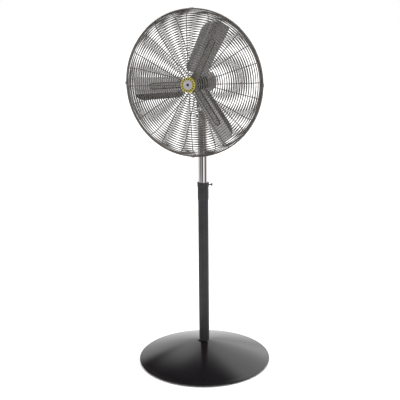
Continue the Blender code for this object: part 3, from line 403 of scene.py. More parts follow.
def turned(profile, sides=96, into=None):
    """A closed outline of (radius, height) turned round Z. A point on the axis becomes a pole."""
    bm = into or bmesh.new()
    rings = []
    for radius, height in profile:
        if radius < 1e-6:
            rings.append([bm.verts.new((0, 0, height))] * sides)
            continue
        angles = [math.tau * k / sides for k in range(sides)]
        rings.append([bm.verts.new((radius * math.cos(a), radius * math.sin(a), height)) for a in angles])
    for one, two in zip(rings, rings[1:] + rings[:1]):
        for k in range(sides):
            after = (k + 1) % sides
            corners = []
            for vert in (one[k], one[after], two[after], two[k]):
                if vert not in corners:
                    corners.append(vert)
            if len(corners) > 2:
                bm.faces.new(corners)
    return bm


def stacked(outline, levels, into=None):
    """A solid of one outline at several (scale, height) levels along Z."""
    bm = into or bmesh.new()
    loops = []
    for scale, height in levels:
        loops.append([bm.verts.new((x * scale, y * scale, height)) for x, y in outline])
    count = len(outline)
    for one, two in zip(loops, loops[1:]):
        for k in range(count):
            after = (k + 1) % count
            bm.faces.new((one[k], one[after], two[after], two[k]))
    bm.faces.new(loops[0])
    bm.faces.new(loops[-1])
    return bm


def wire(bm, points, radius, normal, closed=False, sides=6):
    """A round wire along flat points. normal stands square to the plane that they lie in."""
    count = len(points)
    points = [Vector(p) for p in points]
    normal = Vector(normal).normalized()
    loops = []
    for k, point in enumerate(points):
        before = points[k - 1] if closed or k > 0 else point
        after = points[(k + 1) % count] if closed or k < count - 1 else point
        side = (after - before).normalized().cross(normal)
        loops.append([
            bm.verts.new(point + radius * (side * math.cos(a) + normal * math.sin(a)))
            for a in (math.tau * (s + 0.5) / sides for s in range(sides))
        ])
    pairs = list(zip(loops, loops[1:]))
    if closed:
        pairs.append((loops[-1], loops[0]))
    for one, two in pairs:
        for s in range(sides):
            after = (s + 1) % sides
            bm.faces.new((one[s], one[after], two[after], two[s]))
    if not closed:
        bm.faces.new(loops[0])
        bm.faces.new(loops[-1])


def spaced(points, pitch):
    """Points at an even pitch along a line, with its end."""
    result = [points[0]]
    wanted = pitch
    gone = 0.0
    for one, two in zip(points, points[1:]):
        one, two = Vector(one), Vector(two)
        length = (two - one).length
        while gone + length >= wanted:
            result.append(tuple(one.lerp(two, (wanted - gone) / length)))
            wanted += pitch
        gone += length
    return result


# ---------------------------------------------------------------- base and post

def cone_z(radius):
    """Height of the base's outer face."""
    apex_r = TUBE_R
    apex_z = span("base_cone", Z)[1]
    share = (radius - apex_r) / (BASE_EDGE_R - apex_r)
    return apex_z + (BASE_EDGE_Z - apex_z) * share + 4 * BASE_CROWN * share * (1 - share)


def base_shell():
    """The spun sheet: a crowned slope, a rolled edge with a lip, and the same slope inside."""
    rim_r = reach("base_cone")
    lip = span("base_cone", Z)[0]
    hole = TUBE_R + SLIP
    edge = [
        (BASE_EDGE_R, BASE_EDGE_Z),
        (rim_r + BASE_BULGE, BASE_BULGE_Z),
        (rim_r, lip),
        (BASE_LIP_IN_R, lip),
    ]
    under_edge = [
        (BASE_LIP_IN_R, lip + BASE_SHEET),
        (rim_r - BASE_ROLL, lip + BASE_SHEET),
        (BASE_EDGE_R - BASE_SHEET, BASE_EDGE_Z - BASE_SHEET),
    ]
    run = BASE_EDGE_R - hole - NECK_ROUND
    slope = [hole + NECK_ROUND + run * k / SLOPE_STEPS for k in range(SLOPE_STEPS)]
    inner_edge = BASE_EDGE_R - 3 * BASE_SHEET
    outside = [(radius, cone_z(radius)) for radius in slope]
    inside = [(radius, cone_z(radius) - BASE_SHEET) for radius in reversed(slope) if radius < inner_edge]
    profile = [(hole, cone_z(hole) + NECK_RISE)] + outside + eased(edge, BASE_ROLL, 6, closed=False)
    profile += under_edge + inside + [(hole, cone_z(hole) - BASE_SHEET)]
    piece("base_shell", turned(profile, 192), "stand", "base_paint", replaces=["base_cone"])


def feet():
    """Four rubber feet with a dimple below."""
    radius = reach("foot_1")
    top = span("foot_1", Z)[1]
    profile = eased([
        (0, top),
        (radius, top),
        (radius, 0.0),
        (FOOT_DIMPLE_R, 0.0),
        (FOOT_DIMPLE_FLOOR_R, FOOT_DIMPLE),
        (0, FOOT_DIMPLE),
    ], EDGE_ROUND)
    for number in range(1, 5):
        node = f"foot_{number}"
        at = (middle(node, X), middle(node, Y), 0)
        piece(f"rubber_foot_{number}", turned(profile, 40), "stand", "rubber", along("Z", at), [node])


def tube(name, node, radius, wall, body, slot, sides=96):
    """A plain tube in the place of a CAD tube, with broken edges."""
    low, high = span(node, Z)
    inside = radius - wall
    profile = eased([(radius, low), (radius, high), (inside, high), (inside, low)], SMALL_ROUND, 2)
    piece(name, turned(profile, sides), body, slot, replaces=[node])


def post():
    """The lower tube, the sleeve on its top and the clamp collar."""
    tube("post_tube", "outer_tube", TUBE_R, POST_WALL, "stand", "post_paint")

    low, high = span("tube_sleeve", Z)
    outer = reach("tube_sleeve")
    inner = TUBE_R + SLIP
    outline = [
        (inner, high),
        (outer, high),
        (outer, low + SLEEVE_TAPER),
        (inner + SLEEVE_FOOT, low),
        (inner, low),
    ]
    sleeve = turned(eased(outline, EDGE_ROUND))
    piece("post_sleeve", sleeve, "stand", "post_paint", replaces=["tube_sleeve"])

    low, high = span("clamp_collar", Z)
    outer = reach("clamp_collar")
    waist = outer - COLLAR_WAIST
    inner = MAST_R + SLIP
    outline = [
        (inner, high),
        (outer, high),
        (outer, high - COLLAR_LIP),
        (waist, high - COLLAR_GROOVE),
        (waist, low),
        (inner, low),
    ]
    collar = turned(eased(outline, COLLAR_ROUND))
    piece("collar", collar, "stand", "post_paint", replaces=["clamp_collar"])


def thread(radius, start, end, pitch=0.00125, depth=0.0006):
    """Profile points of a thread's crests and roots, from start to end."""
    turns = int((end - start) / pitch)
    points = []
    for k in range(turns):
        points.append((radius - depth, start + pitch * k))
        points.append((radius, start + pitch * (k + 0.5)))
    return points


def clamp_direction():
    """Angle and distance of the clamp screw, from the place of its bar."""
    bar = Vector((middle("clamp_bar", X), middle("clamp_bar", Y), 0))
    return math.atan2(bar.y, bar.x), bar.length


def clamp_screw():
    """The threaded screw with its round head, and the bar through the head."""
    angle, bar_r = clamp_direction()
    height = middle("clamp_bar", Z)
    place = Matrix.Translation((0, 0, height)) @ Matrix.Rotation(angle, 4, "Z") @ TURN["X"]
    head_in, head_out = bar_r - SCREW_HEAD_HALF, bar_r + SCREW_HEAD_HALF
    shank = [(SCREW_TIP_R, SCREW_TIP)] + thread(SCREW_R, SCREW_TIP + SCREW_PLAIN, head_in - SCREW_PLAIN)
    profile = [(0, head_out), (SCREW_HEAD_R, head_out), (SCREW_HEAD_R, head_in)]
    profile += list(reversed(shank)) + [(0, SCREW_TIP)]
    piece("clamp_t_screw", turned(profile, 32), "clamp_handle", "black_steel", place, ["clamp_screw"])

    low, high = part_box("clamp_bar")
    half = (Vector((high.x, high.y, 0)) - Vector((low.x, low.y, 0))).length / 2
    radius = (high.z - low.z) / 2
    outline = [
        (0, -half),
        (radius * BAR_END, -half),
        (radius, -half + EDGE_ROUND),
        (radius, half - EDGE_ROUND),
        (radius * BAR_END, half),
        (0, half),
    ]
    across = Matrix.Translation((bar_r * math.cos(angle), bar_r * math.sin(angle), height))
    across = across @ Matrix.Rotation(angle, 4, "Z") @ TURN["Y"]
    piece("clamp_tommy_bar", turned(outline, 24), "clamp_handle", "black_steel", across, ["clamp_bar"])


def mast():
    """The chrome tube."""
    tube("mast_tube", "inner_tube", MAST_R, MAST_WALL, "mast", "chrome", 128)


# ---------------------------------------------------------------- head fittings

def waved(radius, waves, swing, steps):
    """A circle whose edge sinks in waves, by twice the swing as a share of its radius."""
    outline = []
    for k in range(steps):
        angle = math.tau * k / steps
        edge = radius * (1 - swing + swing * math.cos(waves * angle))
        outline.append((edge * math.cos(angle), edge * math.sin(angle)))
    return outline


def tilt_knob():
    """The lobed knob that locks the tilt."""
    low, high = span("tilt_knob", X)
    outline = waved(reach("tilt_knob", Z), TILT_LOBES, TILT_LOBE_SWING, 16 * TILT_LOBES)
    disc = low + TILT_KNOB_NECK
    levels = [
        (0.48, low),
        (0.50, low + 0.0005),
        (0.50, disc),
        (0.86, disc + 0.0004),
        (0.97, disc + 0.0022),
        (1.0, disc + 0.0040),
        (1.0, high - 0.0035),
        (0.95, high - 0.0012),
        (0.82, high),
    ]
    place = along("X", (0, 0, PIVOT_Z))
    knob = stacked(outline, levels)
    piece("tilt_lock_knob", knob, "tilt_lock", "black_plastic", place, ["tilt_knob"], 50)


def motor():
    """Two end bells and the barrel between them."""
    axis = along("Y", (0, 0, HEAD_Z))
    joint_front, joint_rear = span("motor_shell", Y)
    inner = MOTOR_R - MOTOR_WALL
    shaft_hole = reach("motor_shaft") + SHAFT_GAP
    front, rear = MOTOR_FRONT_Y, MOTOR_REAR_Y

    face = [
        (shaft_hole, front),
        (GROOVE_IN_R, front),
        (GROOVE_IN_R + GROOVE_SLANT, front + GROOVE_DEPTH),
        (GROOVE_OUT_R - GROOVE_SLANT, front + GROOVE_DEPTH),
        (GROOVE_OUT_R, front),
        (MOTOR_R - BELL_EDGE, front),
        (MOTOR_R, front + BELL_EDGE),
    ]
    skirt = [
        (MOTOR_R, joint_front - BELL_GAP),
        (inner, joint_front - BELL_GAP),
        (inner, front + 2 * MOTOR_WALL),
        (inner - MOTOR_WALL, front + MOTOR_WALL),
        (SEAT_OUT_R, front + MOTOR_WALL),
        (SEAT_OUT_R, front + SEAT_DEPTH),
        (SEAT_IN_R, front + SEAT_DEPTH),
        (SEAT_IN_R, front + SEAT_FLOOR),
        (shaft_hole, front + SEAT_FLOOR),
    ]
    bell = turned(eased(face + skirt, BELL_ROUND, 3))
    piece("motor_front_bell", bell, "head", "motor_paint", axis, ["front_bell"])

    face = [(0, rear), (MOTOR_R - BELL_EDGE, rear), (MOTOR_R, rear - BELL_EDGE)]
    skirt = [
        (MOTOR_R, joint_rear + BELL_GAP),
        (inner, joint_rear + BELL_GAP),
        (inner, rear - 2 * MOTOR_WALL),
        (inner - MOTOR_WALL, rear - MOTOR_WALL),
        (0, rear - MOTOR_WALL),
    ]
    bell = turned(eased(face + skirt, BELL_ROUND, 3))
    piece("motor_rear_bell", bell, "head", "motor_paint", axis, ["rear_bell"])

    bead = []
    for centre in (joint_front + BEAD_INSET, joint_rear - BEAD_INSET):
        bead += [
            (MOTOR_R, centre - BEAD_HALF),
            (MOTOR_R - BEAD_DEPTH, centre - BEAD_FLOOR),
            (MOTOR_R - BEAD_DEPTH, centre + BEAD_FLOOR),
            (MOTOR_R, centre + BEAD_HALF),
        ]
    outline = [(inner, joint_front), (MOTOR_R, joint_front)] + bead
    outline += [(MOTOR_R, joint_rear), (inner, joint_rear)]
    barrel = turned(eased(outline, BEAD_ROUND, 2))
    piece("motor_barrel", barrel, "head", "motor_paint", axis, ["motor_shell"])


# ---------------------------------------------------------------- guard

def guard_line(centre_depth, rise, flat_r, start_r):
    """Points of (radius, depth) of one half's face, from its centre over the bend to its rim."""
    bend_depth = centre_depth - rise
    corners = [(start_r, centre_depth), (flat_r, centre_depth), (BEND_R, bend_depth),
               (GUARD_R - RIM_WIRE_R, RIM_DEPTH)]
    line = []
    for k, corner in enumerate(eased(corners[1:], BEND_REACH, 8, closed=False)):
        if k == 0 and start_r < flat_r:
            line.append(corners[0])
        line.append(corner)
    return line


def circle(radius, y):
    """Points round the fan's axis, with more sides to a larger circle."""
    steps = 12 * max(3, round(radius * RING_FINENESS))
    angles = [math.tau * k / steps for k in range(steps)]
    return [(radius * math.cos(a), y, HEAD_Z + radius * math.sin(a)) for a in angles]


def offset_line(line, distance):
    """The line of (radius, depth) points moved square to itself, away from the fan's middle."""
    result = []
    for k, point in enumerate(line):
        before = Vector(line[max(k - 1, 0)])
        after = Vector(line[min(k + 1, len(line) - 1)])
        run = (after - before).normalized()
        result.append((point[0] - run[1] * distance, point[1] + run[0] * distance))
    return result


def guard_half(forward, line, first_ring_r, phase):
    """Rings welded on the outside of radial ribs, closed by a thicker rim wire."""
    bm = bmesh.new()
    rib_line = offset_line(line, -RIB_WIRE_R - RING_WIRE_R + WELD_SINK)
    side = Vector((0, forward, 0))
    for radius, depth in spaced(line, RING_PITCH):
        if first_ring_r <= radius < GUARD_R - 2 * RIM_WIRE_R:
            wire(bm, circle(radius, RIM_Y + forward * depth), RING_WIRE_R, side, True)
    for k in range(RIB_COUNT):
        angle = math.radians(phase + 360 / RIB_COUNT * k)
        out = Vector((math.cos(angle), 0, math.sin(angle)))
        centre = Vector((0, RIM_Y, HEAD_Z))
        points = [centre + out * radius + side * depth for radius, depth in rib_line]
        wire(bm, points, RIB_WIRE_R, out.cross(side), sides=8)
    wire(bm, circle(GUARD_R - RIM_WIRE_R, RIM_Y + forward * RIM_DEPTH), RIM_WIRE_R, side, True, 10)
    return bm, rib_line


def guards():
    """The front and rear halves, with the wires that close their centres."""
    depth = RIM_Y - FRONT_FACE_Y - RING_WIRE_R
    line = guard_line(depth, FRONT_BEND_RISE, FRONT_CENTRE_R, FRONT_CENTRE_R)
    bm, ribs = guard_half(-1, line, FRONT_CENTRE_R, FRONT_RIB_PHASE)
    wire(bm, circle(FRONT_CENTRE_R, RIM_Y - ribs[0][1]), FRONT_CENTRE_WIRE_R, (0, 1, 0), True, 8)
    piece("guard_front_wires", bm, "head", "guard_wire", replaces=["front_guard"], sharp=80)

    depth = REAR_FACE_Y - RIM_Y - RING_WIRE_R
    line = guard_line(depth, REAR_BEND_RISE, REAR_FLAT_R, REAR_CENTRE_R)
    bm, ribs = guard_half(1, line, REAR_FLAT_R, REAR_RIB_PHASE)
    for radius in (REAR_CENTRE_R, REAR_FLAT_R - REAR_FLAT_INSET):
        wire(bm, circle(radius, RIM_Y + ribs[0][1]), REAR_CENTRE_WIRE_R, (0, 1, 0), True, 8)
    piece("guard_rear_wires", bm, "head", "guard_wire", replaces=["rear_guard"], sharp=80)


def badge():
    """A generic badge: a yellow ring with plain ticks, a pale disc and a centre screw."""
    back, front = span("badge_plate", Y)[1], span("badge_plate", Y)[0]
    radius = reach("badge_plate")
    axis = along("Y", (0, 0, HEAD_Z))
    profile = eased([
        (0, back),
        (radius, back),
        (radius, front + DISC_STEP),
        (radius - EDGE_ROUND, front),
        (0, front),
    ], SMALL_ROUND)
    piece("badge_ring", turned(profile), "head", "badge_yellow", axis, ["badge_plate"])

    disc_back, disc_front = span("badge_disc", Y)[1], span("badge_disc", Y)[0]
    disc_r = reach("badge_disc")
    floor_y = disc_front + DISC_STEP
    profile = eased([
        (0, disc_back),
        (disc_r, disc_back),
        (disc_r, disc_front),
        (disc_r - DISC_BORDER, disc_front),
        (disc_r - DISC_BORDER - DISC_BORDER_SLANT, floor_y),
        (0, floor_y),
    ], 0.0004)
    piece("badge_face", turned(profile, 64), "head", "badge_pale", axis, ["badge_disc"])

    profile = eased([
        (0, disc_front + 0.0006),
        (BADGE_SCREW_R, disc_front + 0.0006),
        (BADGE_SCREW_R, disc_front - 0.0010),
        (SOCKET_TOP_R, disc_front - 0.0022),
        (SOCKET_FLOOR_R, disc_front + 0.0002),
        (0, disc_front + 0.0002),
    ], 0.0008)
    piece("badge_screw", turned(profile, 40), "head", "black_steel", axis)

    bm = bmesh.new()
    for k in range(TICK_COUNT):
        angle = math.tau * (k + 0.5) / TICK_COUNT
        turn = Matrix.Translation((0, front, HEAD_Z)) @ Matrix.Rotation(-angle, 4, "Y")
        block(bm, (TICK_IN_R, -TICK_RISE, -TICK_HALF), (TICK_OUT_R, TICK_RISE, TICK_HALF), turn)
    piece("badge_ticks", bm, "head", "black_plastic")


def block(bm, low, high, turn=Matrix.Identity(4)):
    """A six-sided block between two corners, added to a bmesh."""
    corners = {}
    for x in (low[X], high[X]):
        for y in (low[Y], high[Y]):
            for z in (low[Z], high[Z]):
                corners[x, y, z] = bm.verts.new(turn @ Vector((x, y, z)))
    sides = []
    for axis in (X, Y, Z):
        for value in (low[axis], high[axis]):
            face = [c for c in corners if c[axis] == value]
            one, two = (a for a in (X, Y, Z) if a != axis)
            centre = [sum(c[a] for c in face) / 4 for a in (one, two)]
            face.sort(key=lambda c: math.atan2(c[two] - centre[1], c[one] - centre[0]))
            sides.append(bm.faces.new([corners[c] for c in face]))
    return sides


# ---------------------------------------------------------------- propeller

def blade_frame(angle):
    """Local X runs out along a blade, Y along its chord, Z out of its front face."""
    lean = Matrix.Rotation(math.radians(BLADE_PITCH), 4, "X")
    face_front = Matrix.Rotation(math.radians(90), 4, "X")
    spin = Matrix.Rotation(-math.radians(angle), 4, "Y")
    return Matrix.Translation((0, HUB_Y, HEAD_Z)) @ spin @ face_front @ lean


def corner_loss(past, corner):
    """How far a round corner draws an edge in, at this distance past its start."""
    length, depth = corner
    share = min(max(past / length, 0.0), 1.0)
    return depth * (1 - math.sqrt(1 - share * share))


def blade_edges(radius):
    """Where a blade's two long edges lie at this distance from the axis."""
    share = (radius - BLADE_ROOT_R) / (BLADE_TIP_R - BLADE_ROOT_R)
    root_loss = corner_loss(BLADE_ROOT_R + ROOT_CORNER[0] - radius, ROOT_CORNER)
    leading = LEADING_ROOT + (LEADING_TIP - LEADING_ROOT) * share - root_loss
    trailing = TRAILING_ROOT + (TRAILING_TIP - TRAILING_ROOT) * share - root_loss
    leading -= corner_loss(radius - BLADE_TIP_R + LEADING_CORNER[0], LEADING_CORNER)
    trailing -= corner_loss(radius - BLADE_TIP_R + TRAILING_CORNER[0], TRAILING_CORNER)
    return -leading, trailing


def blade_rise(chord):
    """The trailing part bends forwards from the flat of the blade, in a soft crease."""
    past = chord - CREASE_CHORD
    if past >= CREASE_HALF:
        return CREASE_SLOPE * past
    return CREASE_SLOPE * max(past + CREASE_HALF, 0.0) ** 2 / (4 * CREASE_HALF)


def blade_radii():
    """Stations along the blade, close together round its corners."""
    turn = [math.sin(math.pi / 2 * k / 8) for k in range(1, 9)]
    root_end = BLADE_ROOT_R + ROOT_CORNER[0]
    tip_start = BLADE_TIP_R - TRAILING_CORNER[0]
    root = [root_end - ROOT_CORNER[0] * t for t in reversed(turn)]
    long_part = [root_end + (tip_start - root_end) * k / 16 for k in range(17)]
    return root + long_part + [tip_start + TRAILING_CORNER[0] * t for t in turn]


def blade_chords(leading, trailing):
    """Stations across the blade, close together through its crease."""
    start = min(CREASE_CHORD - CREASE_HALF, trailing - 3 * CREASE_HALF)
    end = start + 2 * CREASE_HALF
    flat = [leading + (start - leading) * k / 8 for k in range(8)]
    crease = [start + (end - start) * k / 8 for k in range(8)]
    return flat + crease + [end + (trailing - end) * k / 6 for k in range(7)]


def border(rows):
    """The points round a grid of rows, in order."""
    there = [row[0] for row in rows] + rows[-1][1:]
    back = [row[-1] for row in reversed(rows[:-1])] + list(reversed(rows[0][1:-1]))
    return there + back


def blade(number, angle):
    """One blade: a front and a back face of bent sheet, joined round the border."""
    bm = bmesh.new()
    sink = ARM_T / 2 + BLADE_GAP + BLADE_T / 2
    faces = []
    for offset in (BLADE_T / 2 - sink, -BLADE_T / 2 - sink):
        rows = []
        for radius in blade_radii():
            leading, trailing = blade_edges(radius)
            chords = blade_chords(leading, trailing)
            rows.append([bm.verts.new((radius, c, blade_rise(c) + offset)) for c in chords])
        faces.append(rows)
    front, back = faces
    for rows in faces:
        for one, two in zip(rows, rows[1:]):
            for k in range(len(one) - 1):
                bm.faces.new((one[k], two[k], two[k + 1], one[k + 1]))
    over, under = border(front), border(back)
    for k in range(len(over)):
        bm.faces.new((over[k - 1], over[k], under[k], under[k - 1]))
    place = blade_frame(angle)
    piece(f"fan_blade_{number}", bm, "propeller", "blade_aluminium", place, [f"blade_{number}"])


def arm_half_width(x):
    """Half the width of an arm at this distance from the hub, with its round end."""
    half = ARM_WIDTH / 2
    past = max(x - ARM_END_R + half, 0.0)
    return math.sqrt(max(half * half - past * past, 0.0))


def arm_stations(start, steps=36):
    """Distances along an arm, close together towards its round end."""
    run = ARM_END_R - start
    return [start + run * math.sin(math.pi / 2 * k / steps) ** 0.8 for k in range(steps + 1)]


def arm_mesh():
    """One pressed arm: a flat tongue with a round end."""
    outline = [(x, arm_half_width(x)) for x in arm_stations(HUB_R / 2)]
    outline += [(x, -y) for x, y in reversed(outline[:-1])]
    return stacked(outline, [(1.0, -ARM_T / 2), (1.0, ARM_T / 2)])


def arm_edge_painted_shade():
    """The rolled edge that stands up round an arm, in dark blackened steel: painted shade for the dark
    shadow lines along the arm's edges.
    """
    inset = ARM_EDGE_R * 0.6
    side = [(x - inset, max(arm_half_width(x) - inset, 0.0), ARM_T / 2) for x in arm_stations(HUB_R)]
    bm = bmesh.new()
    wire(bm, side + [(x, -y, z) for x, y, z in reversed(side[:-1])], ARM_EDGE_R, (0, 0, 1), sides=8)
    return bm


def propeller():
    """Three blades riveted to a three-armed spider."""
    for number, angle in enumerate(BLADE_ANGLES, 1):
        blade(number, angle)
        place = blade_frame(angle)
        piece(f"spider_arm_{number}", arm_mesh(), "propeller", "zinc", place)
        # The edge beads take the dark blackened steel as painted shade, standing in for the shadow lines
        # along each arm's edges
        piece(f"arm_edge_painted_shade_{number}", arm_edge_painted_shade(), "propeller", "black_steel", place, sharp=80)
    axis = along("Y", (0, 0, HEAD_Z))
    bore = reach("motor_shaft") + SLIP
    profile = eased([
        (bore, HUB_FRONT_Y),
        (HUB_NOSE_R, HUB_FRONT_Y),
        (HUB_NOSE_FOOT_R, HUB_FRONT_Y + HUB_NOSE_LENGTH),
        (HUB_R, HUB_FRONT_Y + HUB_SHOULDER),
        (HUB_R, HUB_REAR_Y),
        (bore, HUB_REAR_Y),
    ], 0.0015)
    piece("spider_hub", turned(profile, 64), "propeller", "zinc", axis, ["spider"])
    rivets()


def rivets():
    """Round rivet heads in pairs along each arm."""
    dome = [(0, 0.0022), (0.0017, 0.0020), (0.0031, 0.0013)]
    profile = dome + [(RIVET_R, 0.0), (RIVET_R, -RIVET_SINK), (0, -RIVET_SINK)]
    for number, angle in enumerate(BLADE_ANGLES, 1):
        bm = bmesh.new()
        for x in RIVET_PLACES:
            for y in (-RIVET_Y, RIVET_Y):
                start = len(bm.verts)
                turned(profile, 16, bm)
                bm.verts.ensure_lookup_table()
                fresh = bm.verts[start:]
                bmesh.ops.translate(bm, verts=fresh, vec=(x, y, ARM_T / 2 + 0.0001))
        piece(f"arm_rivets_{number}", bm, "propeller", "blade_aluminium", blade_frame(angle))


# ---------------------------------------------------------------- switch box

def speed_knob():
    """A fluted knob with a pointer line."""
    near, far = span("speed_knob", Y)
    radius = reach("speed_knob")
    centre = (middle("speed_knob", X), 0, HEAD_Z)
    outline = waved(radius, SPEED_FLUTES, SPEED_FLUTE_SWING, 6 * SPEED_FLUTES)
    levels = [(0.97, near), (1.0, near + 0.0006), (0.985, far - 0.0022), (0.93, far - 0.0006), (0.84, far)]
    place = along("Y", centre)
    knob = stacked(outline, levels)
    piece("speed_dial_knob", knob, "speed_dial", "black_plastic", place, ["speed_knob"], 40)
    bm = bmesh.new()
    block(bm, (-0.0007, -radius * 0.78, far - 0.0004), (0.0007, -radius * 0.25, far))
    piece("speed_pointer", bm, "speed_dial", "nylon", place)


def cover_screws():
    """Domed screw heads at the cover's corners, and speed marks round the knob."""
    back = span("switch_cover", Y)[1]
    half_x = reach("switch_cover") - COVER_SCREW_INSET
    half_z = reach("switch_cover", Z) - COVER_SCREW_INSET
    profile = [(0, -0.001), (0.0031, -0.001), (0.0032, 0.0006), (0.0024, 0.0016), (0, 0.0020)]
    bm = bmesh.new()
    for sx in (-1, 1):
        for sz in (-1, 1):
            start = len(bm.verts)
            turned(profile, 24, bm)
            bm.verts.ensure_lookup_table()
            place = along("Y", (sx * half_x, back, HEAD_Z + sz * half_z))
            bmesh.ops.transform(bm, matrix=place, verts=bm.verts[start:])
    piece("cover_screws", bm, "head", "zinc")

    bm = bmesh.new()
    centre = Vector((middle("speed_knob", X), back, HEAD_Z))
    ring_r = reach("speed_knob") + MARK_GAP
    for step in range(MARK_COUNT):
        angle = math.radians(-45 + 90 * step)
        turn = Matrix.Translation(centre) @ Matrix.Rotation(-angle, 4, "Y")
        block(bm, (ring_r - MARK_HALF, -0.0002, -0.0006), (ring_r + MARK_HALF, 0.0003, 0.0006), turn)
    piece("speed_marks", bm, "head", "nylon")


# ---------------------------------------------------------------- CAD nodes that stay

def rounding_group(angle):
    """A node group that shades smooth across edges flatter than the angle."""
    group = bpy.data.node_groups.new("smooth_by_angle", "GeometryNodeTree")
    group.interface.new_socket("Geometry", in_out="INPUT", socket_type="NodeSocketGeometry")
    group.interface.new_socket("Geometry", in_out="OUTPUT", socket_type="NodeSocketGeometry")
    nodes, links = group.nodes, group.links
    start = nodes.new("NodeGroupInput")
    end = nodes.new("NodeGroupOutput")
    edge_angle = nodes.new("GeometryNodeInputMeshEdgeAngle")
    flat = nodes.new("FunctionNodeCompare")
    flat.data_type = "FLOAT"
    flat.operation = "LESS_EQUAL"
    flat.inputs["B"].default_value = math.radians(angle)
    faces = nodes.new("GeometryNodeSetShadeSmooth")
    faces.domain = "FACE"
    edges = nodes.new("GeometryNodeSetShadeSmooth")
    edges.domain = "EDGE"
    links.new(start.outputs[0], faces.inputs["Geometry"])
    links.new(faces.outputs["Geometry"], edges.inputs["Geometry"])
    links.new(edge_angle.outputs["Unsigned Angle"], flat.inputs["A"])
    links.new(flat.outputs["Result"], edges.inputs["Shade Smooth"])
    links.new(edges.outputs["Geometry"], end.inputs[0])
    return group


ROUNDED = {
    "yoke": 0.0012,
    "tilt_bracket": 0.0015,
    "switch_box": 0.0015,
    "switch_cover": 0.0008,
    "guard_clip_1": 0.0006,
    "guard_clip_2": 0.0006,
    "guard_clip_3": 0.0006,
    "guard_clip_4": 0.0006,
}


def dress_cad_nodes():
    """Materials, rounded edges and smooth shading for the CAD nodes that show."""
    smooth = rounding_group(32)
    for name, node in frame["nodes"].items():
        for slot in node.material_slots:
            slot.material = FINISH[slot.material.name.split(".")[0]]
        weld = node.modifiers.new("weld", "WELD")
        weld.merge_threshold = 0.00001
        if name in ROUNDED:
            bevel = node.modifiers.new("round_edges", "BEVEL")
            bevel.width = ROUNDED[name]
            bevel.segments = 3
            bevel.limit_method = "ANGLE"
            bevel.angle_limit = math.radians(40)
        shading = node.modifiers.new("smooth", "NODES")
        shading.node_group = smooth


# ---------------------------------------------------------------- studio

def camera():
    """The view: turned, pitched down and rolled a little about the fan's axis."""
    azimuth = math.radians(CAMERA_AZIMUTH)
    down = math.radians(CAMERA_DOWN)
    yaw = math.radians(CAMERA_YAW)
    roll = math.radians(CAMERA_ROLL)
    inward = Vector((-math.sin(azimuth), math.cos(azimuth), 0))
    right = Vector((math.cos(azimuth), math.sin(azimuth), 0))
    level = inward * math.cos(yaw) + right * math.sin(yaw)
    side = right * math.cos(yaw) - inward * math.sin(yaw)
    forward = level * math.cos(down) - Vector((0, 0, math.sin(down)))
    up = side.cross(forward)
    tilted_side = side * math.cos(roll) + up * math.sin(roll)
    tilted_up = up * math.cos(roll) - side * math.sin(roll)
    data = bpy.data.cameras.new("view")
    data.lens = LENS
    data.sensor_width = SENSOR
    made = bpy.data.objects.new("view", data)
    place = Matrix.Identity(4)
    for row in range(3):
        place[row][0] = tilted_side[row]
        place[row][1] = tilted_up[row]
        place[row][2] = -forward[row]
        place[row][3] = (-inward * CAMERA_DISTANCE + Vector((0, 0, CAMERA_HEIGHT)))[row]
    made.matrix_world = place
    bpy.context.scene.collection.objects.link(made)
    bpy.context.scene.camera = made


def floor():
    """A plain pale floor, which the gloss of the fan doesn't mirror."""
    material, nodes, links = new_material("pale_floor")
    shader = nodes["Principled BSDF"]
    shader.inputs["Roughness"].default_value = 0.9
    shader.inputs["Specular IOR Level"].default_value = 0.1
    broad = grain(nodes, links, 3)
    pale = blend(nodes, links, broad, (0.92, 0.92, 0.92), (0.94, 0.94, 0.94))
    links.new(pale, shader.inputs["Base Color"])
    bm = bmesh.new()
    bmesh.ops.create_circle(bm, cap_ends=True, segments=64, radius=FLOOR_R)
    mesh = bpy.data.meshes.new("studio_floor")
    bm.to_mesh(mesh)
    bm.free()
    mesh.materials.append(material)
    made = bpy.data.objects.new("studio_floor", mesh)
    made.visible_glossy = False
    bpy.context.scene.collection.objects.link(made)


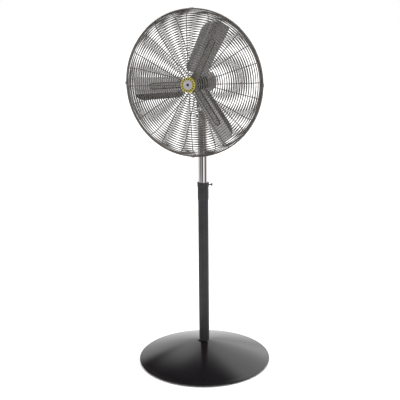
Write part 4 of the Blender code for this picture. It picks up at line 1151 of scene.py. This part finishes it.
def overhead_light():
    """Wide soft light from above, which the gloss of the fan doesn't mirror."""
    data = bpy.data.lights.new("overhead_light", "SUN")
    data.energy = OVERHEAD_POWER
    data.angle = math.radians(OVERHEAD_SPREAD)
    made = bpy.data.objects.new("overhead_light", data)
    made.visible_glossy = False
    bpy.context.scene.collection.objects.link(made)


def world():
    """Soft cards and dark flags round the fan for its gloss to mirror, and white for the camera."""
    made = bpy.data.worlds.new("studio")
    made.use_nodes = True
    nodes, links = made.node_tree.nodes, made.node_tree.links
    look = nodes.new("ShaderNodeTexCoord").outputs["Generated"]
    level = nodes.new("ShaderNodeValue").outputs["Value"]
    level.default_value = AMBIENT

    def towards(level, share, goal):
        """The level moved towards a goal by a share."""
        gap = nodes.new("ShaderNodeMath")
        gap.operation = "SUBTRACT"
        gap.inputs[0].default_value = goal
        links.new(level, gap.inputs[1])
        mixed = nodes.new("ShaderNodeMath")
        mixed.operation = "MULTIPLY_ADD"
        links.new(share, mixed.inputs[0])
        links.new(gap.outputs["Value"], mixed.inputs[1])
        links.new(level, mixed.inputs[2])
        return mixed.outputs["Value"]

    for azimuth, elevation, inner, outer, goal in CARDS:
        around, rise = math.radians(azimuth), math.radians(elevation)
        near = nodes.new("ShaderNodeVectorMath")
        near.operation = "DOT_PRODUCT"
        near.inputs[1].default_value = (
            math.sin(around) * math.cos(rise),
            -math.cos(around) * math.cos(rise),
            math.sin(rise),
        )
        links.new(look, near.inputs[0])
        share = nodes.new("ShaderNodeMapRange")
        share.interpolation_type = "SMOOTHSTEP"
        share.inputs["From Min"].default_value = math.cos(math.radians(outer))
        share.inputs["From Max"].default_value = math.cos(math.radians(inner))
        links.new(near.outputs["Value"], share.inputs["Value"])
        level = towards(level, share.outputs["Result"], goal)
    level = towards(level, nodes.new("ShaderNodeLightPath").outputs["Is Camera Ray"], 1.0)
    links.new(level, nodes["Background"].inputs["Color"])
    bpy.context.scene.world = made


# ---------------------------------------------------------------- the fan

bpy.context.scene.view_settings.view_transform = "Standard"
camera()
floor()
overhead_light()
world()
dress_cad_nodes()
base_shell()
feet()
post()
clamp_screw()
mast()
tilt_knob()
motor()
guards()
badge()
propeller()
speed_knob()
cover_screws()
